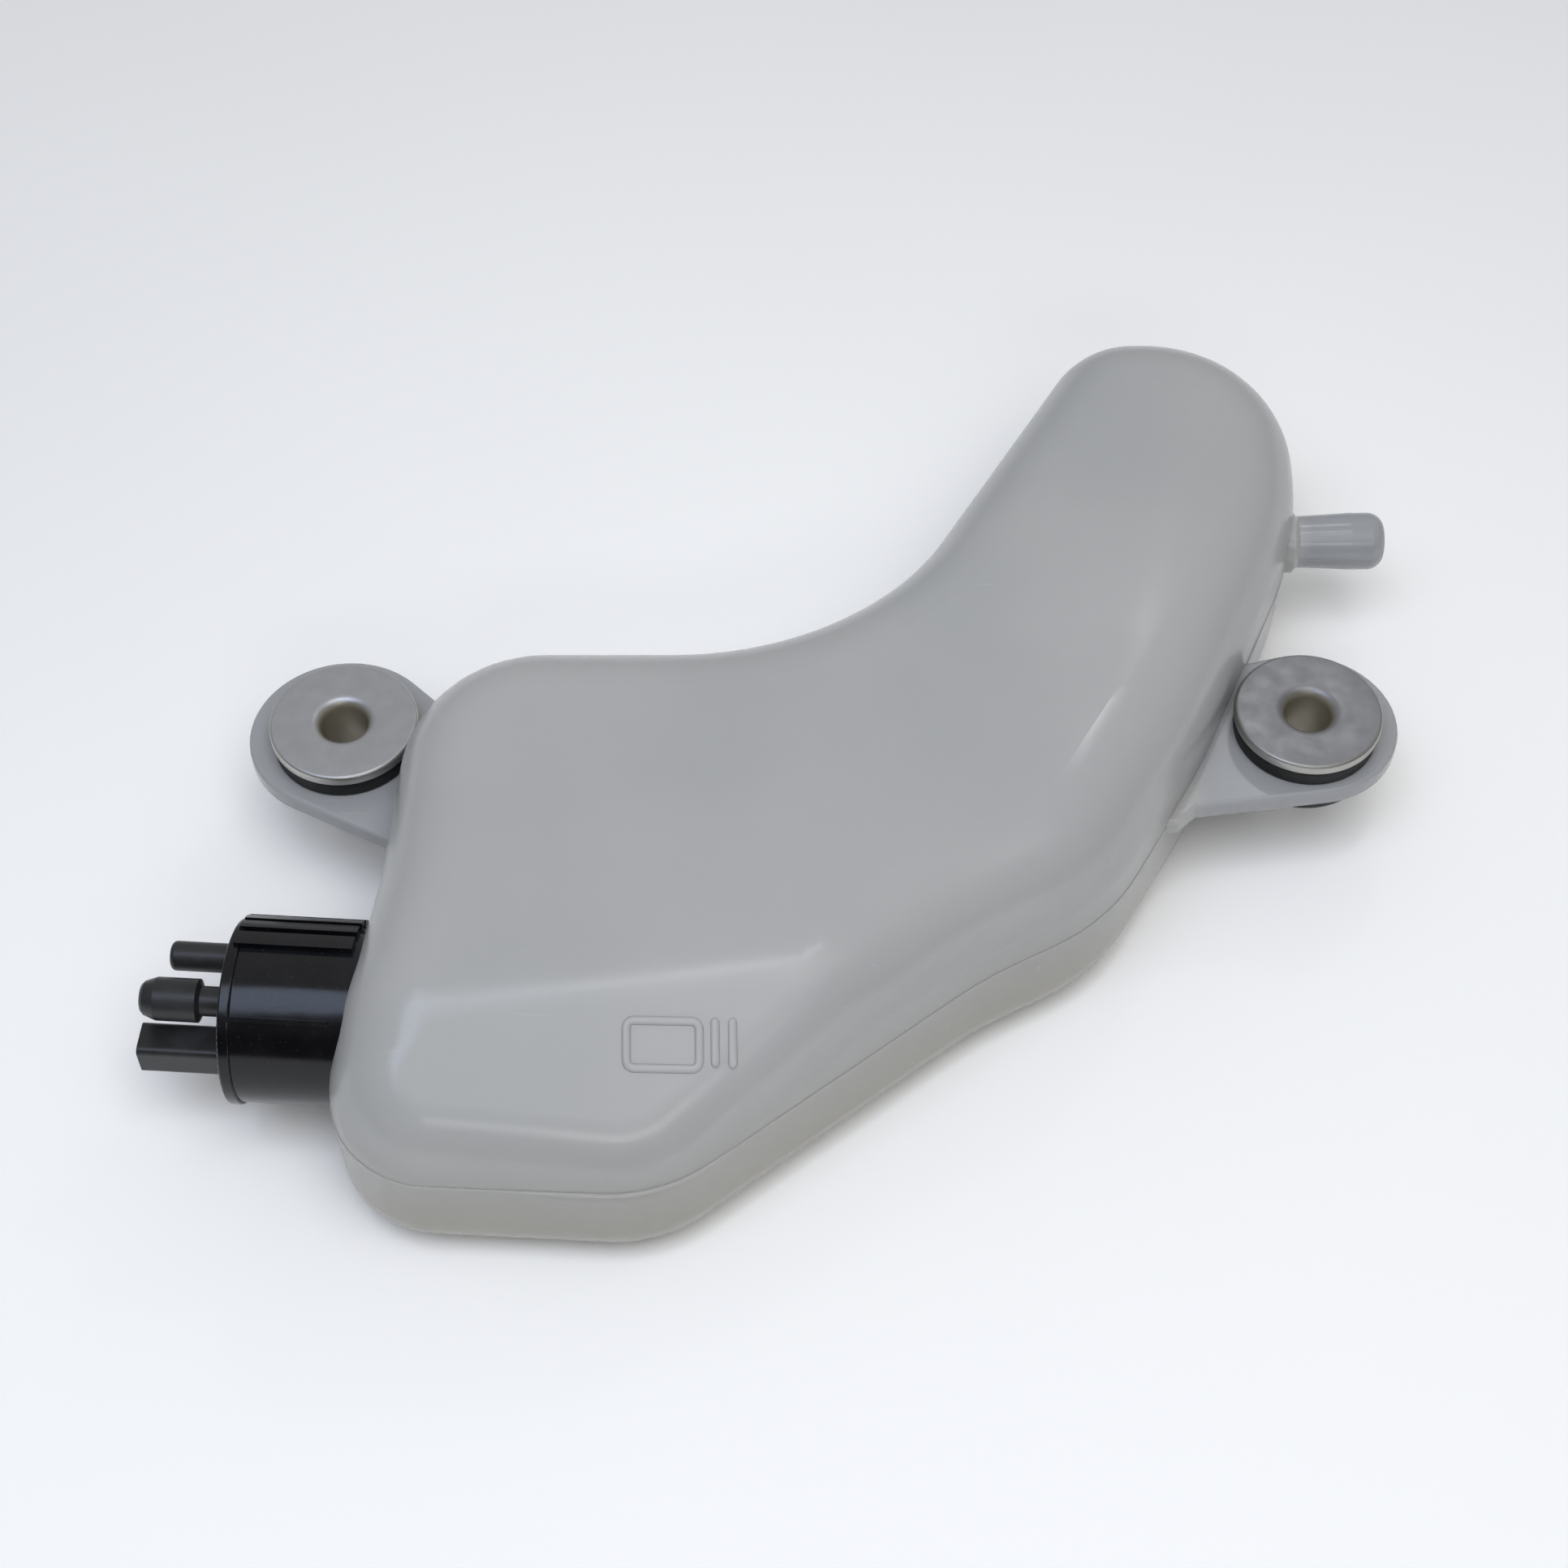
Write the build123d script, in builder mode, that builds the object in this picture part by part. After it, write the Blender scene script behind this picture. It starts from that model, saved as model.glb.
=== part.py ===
from build123d import *
from math import atan2, acos, cos, sin, tan, radians, degrees, hypot
import os

os.makedirs("parts", exist_ok=True)

# Small motorcycle fuel tank lying on its flat back, millimetres, +Z up.
# X runs through both mounting ears, the middle of the back face is near the origin.

# Tank body
tank_h = 36.0            # back face to front face
wall = 2.0               # blow-moulded wall
front_r = 12.0           # rounding of the front edge
rear_r = 8.0             # rounding of the back edge
parting_z = 18.0         # parting plane, ears and ports lie on it
seam_w = 0.5             # parting bead height
seam_out = 0.15          # parting bead stand-off
corners = [              # plan corners, clockwise from the upper left, and their radii
    (-58.5, 22.2, 20.0), (3.9, 21.3, 44.0), (40.5, 83.8, 14.0), (72.6, 83.4, 22.0),
    (71.6, 48.9, 55.0), (52.6, 6.9, 90.0), (37.6, -18.1, 30.0), (20.0, -27.4, 60.0),
    (-22.9, -60.0, 20.0), (-68.4, -56.8, 14.0), (-60.7, -17.0, 110.0),
]

# Front face falls away at the lower left (slope) and along the right arm (roll)
slope_line = ((-48.4, -34.4), (-4.3, -29.9))
slope_deg = 30.0
slope_blend = 16.0
roll_line = ((33.0, -14.0), (50.0, 50.0))
roll_deg = 55.0
roll_blend = 45.0

# Mounting ears, grommets and collars
ear_x = 68.4
ear_y = 14.0
left_ear_r = 13.3
right_ear_r = 12.8
ear_out = 0.8            # ear plate centre, outwards and up the tank from its hole
ear_up = 1.5
ear_t = 3.0
ear_hole_r = 6.7
lip_r = 10.2             # rubber lip
lip_t = 2.9
collar_bore_r = 3.3      # M6 clearance
collar_tube_r = 4.6
flange_r = 10.5
flange_t = 1.6
entry_r = 1.1            # rounded mouth of the bore

# Hose nipple on the right side
nipple_y = 52.1
nipple_tip_x = 85.3
nipple_len = 13.7        # wall to tip
nipple_root_r = 4.7
nipple_neck_r = 3.9
nipple_bead_r = 4.3
nipple_bore_r = 2.9

# Pump module, measured outwards (s) from its end face along a tilted axis
pump_tilt = 4.5
pump_end = (-79.1, -30.8, 18.0)
housing_r = 12.0
lip_out = 0.35           # raised lip round the outer end of the housing
lip_w = 1.6
rail_s = -16.3           # inner end of the rails
rib_s = -14.2            # inner end of the rib
port_gap = 0.15          # slip fit of the housing in its socket
socket_s = -24.5         # socket floor
seal_t = 1.5
boss_r = 15.4
boss_s = -34.0
sleeve_r = housing_r - 1.8
sleeve_s = -52.0         # inner end of the housing
bore_r = sleeve_r - 1.2
mouth_r = housing_r - 1.6    # wider bore for the cover and brush plate
mouth_s = -11.5
run_gap = 0.04           # bearing running fit
soft_gap = 0.3           # space left beside moving pieces

t = radians(pump_tilt)
pump = Plane(origin=pump_end, x_dir=(0, 0, 1), z_dir=(-cos(t), sin(t), 0))


def at(s):
    return pump.offset(s)


def save(name, builder):
    builder.part.label = name
    export_step(builder.part, f"parts/{name}.step")


def ring(s0, s1, r_out, r_in=0.0):
    # plain ring or disc between two stations of the pump axis
    with BuildPart() as body:
        with BuildSketch(at(s0)):
            Circle(r_out)
            if r_in > 0:
                Circle(r_in, mode=Mode.SUBTRACT)
        extrude(amount=s1 - s0)
    return body.part


def front_block(line, angle, blend, inset):
    # everything under a flat top that bends down past the line
    (x0, y0), (x1, y1) = line
    length = hypot(x1 - x0, y1 - y0)
    ux, uy = (x1 - x0) / length, (y1 - y0) / length
    a = radians(angle)
    r = blend - inset
    bend = (r * sin(a), r * cos(a) - blend)
    reach = 120.0
    with BuildPart() as block:
        with BuildSketch(Plane(origin=(x0, y0, tank_h), x_dir=(uy, -ux, 0), z_dir=(-ux, -uy, 0))):
            with BuildLine():
                Line((-300, -inset), (0, -inset))
                RadiusArc((0, -inset), bend, r)
                far = (bend[0] + reach * cos(a), bend[1] - reach * sin(a))
                Polyline(bend, far, (far[0], -300), (-300, -300), (-300, -inset))
            make_face()
        extrude(amount=400, both=True)
    return block.part


def tank_form(inset):
    # closed bottle form, moved inwards by inset
    with BuildPart() as form:
        with BuildSketch(Plane.XY.offset(inset)):
            with BuildLine():
                FilletPolyline(*[(x, y) for x, y, r in corners],
                               radius=[r for x, y, r in corners], close=True)
            make_face()
            if inset > 0:
                offset(amount=-inset, kind=Kind.INTERSECTION)
        extrude(amount=tank_h - 2 * inset)
        add(front_block(slope_line, slope_deg, slope_blend, inset), mode=Mode.INTERSECT)
        add(front_block(roll_line, roll_deg, roll_blend, inset), mode=Mode.INTERSECT)
        sides = form.faces().filter_by(lambda f: abs(f.normal_at().Z) < 0.01)
        edges = [e for f in sides for e in f.edges()]
        flat = [e for e in edges if hypot(e.bounding_box().size.X, e.bounding_box().size.Y) > 0.01]
        fillet([e for e in flat if e.center().Z < parting_z], rear_r - inset)
        sides = form.faces().filter_by(lambda f: abs(f.normal_at().Z) < 0.01)
        edges = [e for f in sides for e in f.edges()]
        flat = [e for e in edges if hypot(e.bounding_box().size.X, e.bounding_box().size.Y) > 0.01]
        fillet([e for e in flat if e.center().Z > parting_z], front_r - inset)
    return form.part


def tangent_point(cx, cy, r, px, py, side):
    # where the line from a point touches a circle
    d = hypot(px - cx, py - cy)
    a = atan2(py - cy, px - cx) + side * acos(r / d)
    return (cx + r * cos(a), cy + r * sin(a))


# Tank shell: hollow form, two ears on the parting plane, hose nipple and pump port
with BuildPart() as left_ear:
    with BuildSketch(Plane.XY.offset(parting_z - ear_t / 2)):
        left_c = (-ear_x - ear_out, ear_y + ear_up)
        with Locations(left_c):
            Circle(left_ear_r)
        top = tangent_point(*left_c, left_ear_r, -51, ear_y + 2, 1)
        low = tangent_point(*left_c, left_ear_r, -60.6, ear_y - 18.2, -1)
        with BuildLine():
            Polyline(top, (-51, ear_y + 2), (-51, ear_y - 22), (-60.6, ear_y - 18.2), low, top)
        make_face()
    extrude(amount=ear_t)
    fillet(left_ear.edges().filter_by(Plane.XY), 0.6)

with BuildPart() as right_ear:
    with BuildSketch(Plane.XY.offset(parting_z - ear_t / 2)):
        right_c = (ear_x + ear_out, ear_y + ear_up)
        with Locations(right_c):
            Circle(right_ear_r)
        top = tangent_point(*right_c, right_ear_r, 55, ear_y + 11, -1)
        low = tangent_point(*right_c, right_ear_r, 51.6, ear_y - 13.6, 1)
        with BuildLine():
            Polyline(top, (55, ear_y + 11), (42, ear_y - 10), (42, ear_y - 17), (48.8, ear_y - 16.2),
                     (51.6, ear_y - 13.6), low, top)
        make_face()
    extrude(amount=ear_t)
    fillet(right_ear.edges().filter_by(Plane.XY), 0.6)

with BuildPart() as nipple:
    with BuildSketch(Plane.XY):
        with BuildLine():
            root_x = nipple_tip_x - nipple_len
            inner_x = root_x - 3 * wall
            land_x = nipple_tip_x - 0.44 * nipple_bead_r
            Polyline((inner_x, 0), (inner_x, nipple_root_r), (root_x, nipple_root_r),
                     (root_x + nipple_root_r - nipple_neck_r, nipple_neck_r),
                     (land_x - 0.75 * nipple_bead_r, nipple_bead_r), (land_x, nipple_bead_r))
            RadiusArc((land_x, nipple_bead_r), (nipple_tip_x, 0.72 * nipple_bead_r), 0.56 * nipple_bead_r)
            Polyline((nipple_tip_x, 0.72 * nipple_bead_r), (nipple_tip_x, 0), (inner_x, 0))
        make_face()
    revolve(axis=Axis.X)

with BuildPart() as fuel_space:
    add(tank_form(wall))
    add(ring(boss_s, 0, boss_r), mode=Mode.SUBTRACT)

with BuildPart() as tank_shell:
    add(tank_form(0.0))
    with BuildSketch(Plane.XY.offset(parting_z - seam_w / 2)):
        with BuildLine():
            FilletPolyline(*[(x, y) for x, y, r in corners],
                           radius=[r for x, y, r in corners], close=True)
        make_face()
        offset(amount=seam_out)
    extrude(amount=seam_w)
    add(left_ear.part)
    add(right_ear.part)
    add(nipple.part.moved(Location((0, nipple_y, parting_z))))
    add(fuel_space.part, mode=Mode.SUBTRACT)
    add(ring(socket_s, 20, housing_r + port_gap), mode=Mode.SUBTRACT)
    add(ring(boss_s - 1, socket_s, sleeve_r + port_gap), mode=Mode.SUBTRACT)
    with BuildSketch(Plane(origin=(inner_x - wall, nipple_y, parting_z), z_dir=(1, 0, 0))):
        Circle(nipple_bore_r)
    extrude(amount=nipple_len + 6 * wall, mode=Mode.SUBTRACT)
    with BuildSketch(Plane.XY):
        with Locations((-ear_x, ear_y), (ear_x, ear_y)):
            Circle(ear_hole_r)
    extrude(amount=tank_h, mode=Mode.SUBTRACT)
save("tank_shell", tank_shell)


# Rubber grommet and flanged metal collar in each ear
for side, x in (("left", -ear_x), ("right", ear_x)):
    lip_top = parting_z + ear_t / 2 + lip_t
    lip_low = parting_z - ear_t / 2 - lip_t
    with BuildPart() as grommet:
        with BuildSketch(Plane.XZ):
            with BuildLine():
                Polyline((collar_tube_r, lip_low), (lip_r - 0.8, lip_low), (lip_r, lip_low + 0.8),
                         (lip_r, parting_z - ear_t / 2), (ear_hole_r, parting_z - ear_t / 2),
                         (ear_hole_r, parting_z + ear_t / 2), (lip_r, parting_z + ear_t / 2),
                         (lip_r, lip_top - 0.4), (lip_r - 0.4, lip_top), (collar_tube_r, lip_top),
                         (collar_tube_r, lip_low))
            make_face()
        revolve(axis=Axis.Z)
    with BuildPart() as placed:
        add(grommet.part.moved(Location((x, ear_y, 0))))
    save(f"{side}_grommet", placed)

    with BuildPart() as collar:
        with BuildSketch(Plane.XZ):
            with BuildLine():
                Polyline((collar_bore_r, lip_low), (collar_tube_r, lip_low), (collar_tube_r, lip_top),
                         (flange_r - 0.25, lip_top), (flange_r, lip_top + 0.25),
                         (flange_r, lip_top + flange_t - 0.35), (flange_r - 0.35, lip_top + flange_t),
                         (collar_bore_r + entry_r, lip_top + flange_t))
                RadiusArc((collar_bore_r + entry_r, lip_top + flange_t),
                          (collar_bore_r, lip_top + flange_t - entry_r), -entry_r)
                Line((collar_bore_r, lip_top + flange_t - entry_r), (collar_bore_r, lip_low))
            make_face()
        revolve(axis=Axis.Z)
    with BuildPart() as placed:
        add(collar.part.moved(Location((x, ear_y, 0))))
    save(f"{side}_collar", placed)


# Pump housing: thick visible end with rails and a rib, thin sleeve reaching into the fuel
with BuildPart() as housing:
    add(ring(socket_s + seal_t, -lip_w / 2, housing_r))
    add(ring(-lip_w, 0, housing_r + lip_out))
    fillet(housing.edges().filter_by(GeomType.CIRCLE)
           .filter_by(lambda e: abs(e.radius - housing_r - lip_out) < 0.01), 0.8 * lip_out)
    add(ring(sleeve_s, socket_s + seal_t, sleeve_r))
    with BuildSketch(at(rail_s)):
        with BuildLine():
            a0, a1 = radians(10), radians(64)
            r0, r1 = housing_r - 0.5, housing_r + 0.9
            RadiusArc((r1 * cos(a0), r1 * sin(a0)), (r1 * cos(a1), r1 * sin(a1)), -r1)
            RadiusArc((r0 * cos(a0), r0 * sin(a0)), (r0 * cos(a1), r0 * sin(a1)), -r0)
            Line((r0 * cos(a0), r0 * sin(a0)), (r1 * cos(a0), r1 * sin(a0)))
            Line((r0 * cos(a1), r0 * sin(a1)), (r1 * cos(a1), r1 * sin(a1)))
        make_face()
        with PolarLocations(housing_r + 0.65, 3, start_angle=23.5, angular_range=40.5):
            Rectangle(1.1, 1.1, mode=Mode.SUBTRACT)
    extrude(amount=-lip_w / 2 - rail_s)
    with BuildSketch(at(rib_s)):
        with PolarLocations(housing_r + 0.1, 1, start_angle=-38):
            Rectangle(0.8, 0.7)
    extrude(amount=-lip_w / 2 - rib_s)
    add(ring(sleeve_s + 2, 0, bore_r), mode=Mode.SUBTRACT)
    add(ring(mouth_s, 0, mouth_r), mode=Mode.SUBTRACT)
    add(ring(sleeve_s - 8, sleeve_s, 5.4))
    add(ring(sleeve_s - 8, sleeve_s + 2, 4.2), mode=Mode.SUBTRACT)
save("pump_housing", housing)

with BuildPart() as port_seal:
    add(ring(socket_s, socket_s + seal_t, housing_r - 0.1, sleeve_r))
save("port_seal", port_seal)


# End cover: outlet nozzle with barbed head, vent nipple and connector shroud in one moulding
noz = (4.2, -1.5)        # nozzle centre, up and away from the viewer
noz_tip = 11.9
noz_head = 4.3           # start of the barbed head
vent = (3.0, 6.2)
vent_r = 2.0
vent_tip = 9.7
plug = (-2.2, -5.0)      # connector centre
plug_up, plug_y = 5.2, 5.0
plug_tip = 12.3
face_s = -0.6            # outer face of the cover, just inside the lip
blade_up = (-3.4, -1.0)
cover_s = -7.0
chamber_r = 2.2
chamber_top = -1.4
seat_s = -5.6
groove_s = (-5.0, -3.4)

with BuildPart() as cover:
    add(ring(cover_s, face_s, mouth_r))
    add(ring(groove_s[0], groove_s[1], mouth_r + 1, mouth_r - 1.2), mode=Mode.SUBTRACT)
    with BuildSketch(at(face_s)):
        with Locations(plug):
            RectangleRounded(plug_up, plug_y, 0.9)
    extrude(amount=plug_tip - face_s)
    with BuildSketch(at(face_s)):
        with Locations(vent):
            Circle(vent_r)
    extrude(amount=vent_tip - face_s)
    fillet(cover.edges().filter_by(GeomType.CIRCLE).filter_by(lambda e: abs(e.radius - vent_r) < 0.01)
           .sort_by(Axis.X)[0], 0.7)
    with BuildSketch(Plane(origin=at(0).from_local_coords((noz[0], noz[1], 0)), x_dir=(0, 0, 1),
                           z_dir=(-sin(t), -cos(t), 0))):
        with BuildLine():
            Polyline((0, face_s - 0.2), (2.3, face_s - 0.2), (2.3, 0.6), (2.0, 1.1), (2.0, noz_head - 0.4),
                     (2.9, noz_head), (2.9, noz_tip - 2.0), (2.3, noz_tip - 0.4), (1.9, noz_tip),
                     (0, noz_tip), (0, face_s - 0.2))
        make_face()
    revolve(axis=Axis(at(0).from_local_coords((noz[0], noz[1], 0)), pump.z_dir))
    with BuildSketch(at(chamber_top)):
        with Locations(noz):
            Circle(1.3)
    extrude(amount=20, mode=Mode.SUBTRACT)
    with BuildSketch(at(seat_s)):
        with Locations(noz):
            Circle(chamber_r)
    extrude(amount=chamber_top - seat_s, mode=Mode.SUBTRACT)
    with BuildSketch(at(cover_s)):
        with Locations(noz):
            Circle(3.0)
    extrude(amount=seat_s - cover_s, mode=Mode.SUBTRACT)
    with BuildSketch(at(cover_s)):
        with Locations(vent):
            Circle(0.9)
    extrude(amount=20, mode=Mode.SUBTRACT)
    with BuildSketch(at(2.0)):
        with Locations(plug):
            RectangleRounded(plug_up - 1.6, plug_y - 1.6, 0.4)
    extrude(amount=10, mode=Mode.SUBTRACT)
    with BuildSketch(at(cover_s)):
        with Locations(*[(a, plug[1]) for a in blade_up]):
            Rectangle(0.6, 1.6)
    extrude(amount=12, mode=Mode.SUBTRACT)
save("pump_end_cover", cover)

with BuildPart() as cover_seal:
    add(ring(groove_s[0] + 0.1, groove_s[1] - 0.1, mouth_r, mouth_r - 1.2))
save("cover_seal", cover_seal)

plate_s = -9.0           # top of the brush plate
blade_s = plug_tip - 3.2     # shoulder of the blade tips
for name, a in (("terminal_feed", blade_up[0]), ("terminal_ground", blade_up[1])):
    with BuildPart() as blade:
        with BuildSketch(at(plate_s)):
            with Locations((a, plug[1])):
                Rectangle(0.6, 1.6)
        extrude(amount=blade_s - plate_s)
        with BuildSketch(at(blade_s)):
            with Locations((a, plug[1])):
                Rectangle(0.6, 1.6)
        extrude(amount=1.0, taper=11)
    save(name, blade)


# Outlet check valve behind the nozzle
with BuildPart() as valve_seat:
    with BuildSketch(at(cover_s)):
        with Locations(noz):
            Circle(3.0)
            Circle(1.2, mode=Mode.SUBTRACT)
    extrude(amount=seat_s - cover_s)
save("valve_seat", valve_seat)

disc_s = seat_s + soft_gap
disc_t = 1.2
with BuildPart() as valve_plunger:
    with BuildSketch(at(disc_s)):
        with Locations(noz):
            Circle(1.8)
    extrude(amount=disc_t)
    with BuildSketch(at(disc_s + disc_t)):
        with Locations(noz):
            Circle(0.6)
    extrude(amount=0.9)
save("valve_plunger", valve_plunger)

wire_r = 0.12
coil_r = 1.6
coil_turns = 4
coil_s = disc_s + disc_t + wire_r
coil_h = chamber_top - wire_r - coil_s
with BuildPart() as valve_spring:
    with BuildLine():
        path = Helix(pitch=coil_h / coil_turns, height=coil_h, radius=coil_r,
                     center=at(coil_s).from_local_coords((noz[0], noz[1], 0)), direction=pump.z_dir)
    with BuildSketch(Plane(origin=path @ 0, z_dir=path % 0)):
        Circle(wire_r)
    sweep()
save("valve_spring", valve_spring)


# Motor: steel can with two magnets, rotor on a plain shaft, brushes on leaf springs
can_s = (-44.3, mouth_s)
can_in = bore_r - 0.9
magnet_in = can_in - 1.7
rotor_r = magnet_in - 0.4
wind_r = rotor_r - 0.1
slot_at = rotor_r - 1.9  # middle of a winding slot
comm_r = 2.7
shaft_r = 1.0
bush_r = 2.3

with BuildPart() as motor_can:
    add(ring(can_s[0], can_s[1], bore_r - 0.1, can_in))
save("motor_can", motor_can)

for name, start in (("magnet_front", 205), ("magnet_back", 25)):
    with BuildPart() as magnet:
        add(ring(-40.0, -20.0, can_in, magnet_in))
        with BuildSketch(at(-41.0)):
            with BuildLine():
                a0, a1 = radians(start), radians(start + 130)
                Polyline((0, 0), (30 * cos(a0), 30 * sin(a0)),
                         (60 * cos((a0 + a1) / 2), 60 * sin((a0 + a1) / 2)),
                         (30 * cos(a1), 30 * sin(a1)), (0, 0))
            make_face()
        extrude(amount=22, mode=Mode.INTERSECT)
    save(name, magnet)

poles = 5
slot_w = 1.3
with BuildPart() as armature:
    add(ring(-38.0, -22.0, rotor_r, shaft_r))
    with BuildSketch(at(-38.0)):
        with PolarLocations(rotor_r, poles):
            Rectangle(1.4, slot_w, mode=Mode.ADD)
        with PolarLocations(slot_at, poles):
            RectangleRounded(3.2, 2.6, 0.6, mode=Mode.ADD)
    extrude(amount=16, mode=Mode.SUBTRACT)
save("armature_stack", armature)

with BuildPart() as winding:
    add(ring(-40.6, -38.0, wind_r, bush_r))
    add(ring(-22.0, -19.6, wind_r, bush_r))
    fillet(winding.edges().filter_by(GeomType.CIRCLE), 0.5)
    with BuildSketch(at(-38.6)):
        with PolarLocations(slot_at, poles):
            RectangleRounded(3.2, 2.6, 0.6)
    extrude(amount=17.2)
save("armature_winding", winding)

with BuildPart() as commutator:
    add(ring(-17.6, -12.6, comm_r, shaft_r))
    with BuildSketch(at(-17.6)):
        with PolarLocations(comm_r, poles, start_angle=36):
            Rectangle(1.0, 0.35)
    extrude(amount=5, mode=Mode.SUBTRACT)
save("commutator", commutator)

with BuildPart() as shaft:
    add(ring(-49.5, -8.0, shaft_r))
    chamfer(shaft.edges().filter_by(GeomType.CIRCLE), 0.15)
save("motor_shaft", shaft)

with BuildPart() as brush_plate:
    add(ring(mouth_s, plate_s, mouth_r))
    with BuildSketch(at(mouth_s)):
        Circle(bush_r)
        with Locations((5.6, 4.6), (5.6, -4.6)):
            Circle(1.5)
        with Locations((-4.45, 4.95), (-4.45, -4.95)):
            Rectangle(1.5, 0.3)
    extrude(amount=plate_s - mouth_s, mode=Mode.SUBTRACT)
save("brush_plate", brush_plate)

brush_s = -16.4
for name, k in (("front", -1), ("back", 1)):
    with BuildPart() as leaf:
        with BuildSketch(at(brush_s)):
            with Locations((-2.0, k * 4.95)):
                Rectangle(6.4, 0.3)
        extrude(amount=2.8)
        with BuildSketch(at(brush_s)):
            with Locations((-4.45, k * 4.95)):
                Rectangle(1.5, 0.3)
        extrude(amount=-8.4 - brush_s)
    save(f"brush_leaf_{name}", leaf)
    with BuildPart() as brush:
        with BuildSketch(at(brush_s)):
            with Locations((0, k * 3.9)):
                Rectangle(2.4, 1.8)
        extrude(amount=2.8)
        add(ring(brush_s - 1, brush_s + 4, comm_r + soft_gap), mode=Mode.SUBTRACT)
    save(f"brush_{name}", brush)

with BuildPart() as strap:
    with BuildSketch(at(plate_s)):
        with BuildLine():
            Polyline((-0.7, -4.2), (-0.7, -3.4), (-2.9, -2.1), (-2.9, 3.0), (-3.7, 4.0), (-3.7, 4.8),
                     (-5.2, 4.8), (-5.2, 4.0), (-3.9, 2.6), (-3.9, -2.6), (-1.3, -4.2), (-0.7, -4.2))
        make_face()
    extrude(amount=0.4)
save("brush_strap", strap)

for name, s0, s1 in (("bearing_outer", mouth_s, -8.6), ("bearing_inner", -46.8, -43.6)):
    with BuildPart() as bush:
        add(ring(s0, s1, bush_r, shaft_r + run_gap))
    save(name, bush)


# Impeller, chamber plate and inlet strainer at the inner end
with BuildPart() as chamber_plate:
    add(ring(-46.8, can_s[0], bore_r))
    with BuildSketch(at(-46.8)):
        Circle(bush_r)
        with Locations((bore_r - 2.8, 0)):
            Circle(1.4)
    extrude(amount=3, mode=Mode.SUBTRACT)
save("chamber_plate", chamber_plate)

with BuildPart() as impeller:
    add(ring(-49.4, -48.4, bore_r - 0.6, shaft_r))
    add(ring(-48.4, -47.2, 3.0, shaft_r))
    with BuildSketch(at(-48.4)):
        with PolarLocations(bore_r - 3.4, 10):
            Rectangle(bore_r - 3.2, 0.8, rotation=18)
    extrude(amount=1.2)
save("impeller", impeller)

with BuildPart() as strainer:
    add(ring(sleeve_s - 12, sleeve_s, 6.6))
    add(ring(sleeve_s - 11, sleeve_s, 5.4), mode=Mode.SUBTRACT)
    chamfer(strainer.edges().filter_by(GeomType.CIRCLE).sort_by(Axis.X)[-1], 0.8)
    for k in range(8):
        with BuildSketch(Plane(origin=at(sleeve_s - 9.6).origin, x_dir=pump.z_dir,
                               z_dir=(0, 0, 1)).rotated((k * 45, 0, 0))):
            with Locations((0, 0)):
                Rectangle(2.4, 1.6)
        extrude(amount=8, mode=Mode.SUBTRACT)
save("inlet_strainer", strainer)
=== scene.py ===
"""Looks for a small blow-moulded motorcycle fuel tank with its pump module.

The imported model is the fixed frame. This file gives every node the finish of the real piece,
adds the fine moulded, rubber and plated forms as surfaces worked out with numpy, and sets up a
pale floor, soft lights and the camera.
"""

from __future__ import annotations

import logging
import math
from dataclasses import dataclass, field
from enum import Enum
from typing import Any

import bpy
import numpy as np
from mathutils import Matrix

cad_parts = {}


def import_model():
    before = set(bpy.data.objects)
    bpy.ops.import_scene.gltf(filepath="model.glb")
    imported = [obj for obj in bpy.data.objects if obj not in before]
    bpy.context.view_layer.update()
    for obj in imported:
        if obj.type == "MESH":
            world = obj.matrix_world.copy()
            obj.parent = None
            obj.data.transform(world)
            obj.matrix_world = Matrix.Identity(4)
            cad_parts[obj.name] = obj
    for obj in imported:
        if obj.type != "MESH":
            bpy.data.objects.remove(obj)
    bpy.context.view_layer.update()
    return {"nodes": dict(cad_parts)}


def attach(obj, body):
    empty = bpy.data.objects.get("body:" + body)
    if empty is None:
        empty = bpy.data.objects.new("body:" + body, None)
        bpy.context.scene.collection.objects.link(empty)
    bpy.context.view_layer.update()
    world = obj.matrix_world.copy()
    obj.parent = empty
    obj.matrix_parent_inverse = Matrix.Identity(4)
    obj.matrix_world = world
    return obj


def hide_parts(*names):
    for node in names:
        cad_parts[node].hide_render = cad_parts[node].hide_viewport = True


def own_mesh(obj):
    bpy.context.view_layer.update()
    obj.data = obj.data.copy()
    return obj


LOG = logging.getLogger("tank")
MM = 0.001
WAVES_PER_SCALE = 20.0  # Blender's wave texture fits this many bands in one unit at scale one


class Body(Enum):
    """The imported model's body that the new pieces ride on. Nothing new turns or slides."""

    TANK = "tank"


class Side(Enum):
    """The two mounting ears, with the sign of their X."""

    LEFT = -1
    RIGHT = 1


def linear(hex_colour: str) -> tuple[float, float, float, float]:
    """Turn an sRGB hex colour into linear RGBA.

    Args:
        hex_colour: six hex digits.

    Returns:
        Linear red, green, blue and an alpha of one.
    """
    srgb = np.array([int(hex_colour[i : i + 2], 16) for i in (0, 2, 4)]) / 255.0
    lin = np.where(srgb <= 0.04045, srgb / 12.92, ((srgb + 0.055) / 1.055) ** 2.4)
    return (float(lin[0]), float(lin[1]), float(lin[2]), 1.0)


def per_mm(size_mm: float) -> float:
    """Give the texture scale, in waves per metre, of a pattern of this size in millimetres."""
    return 1000.0 / size_mm


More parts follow.
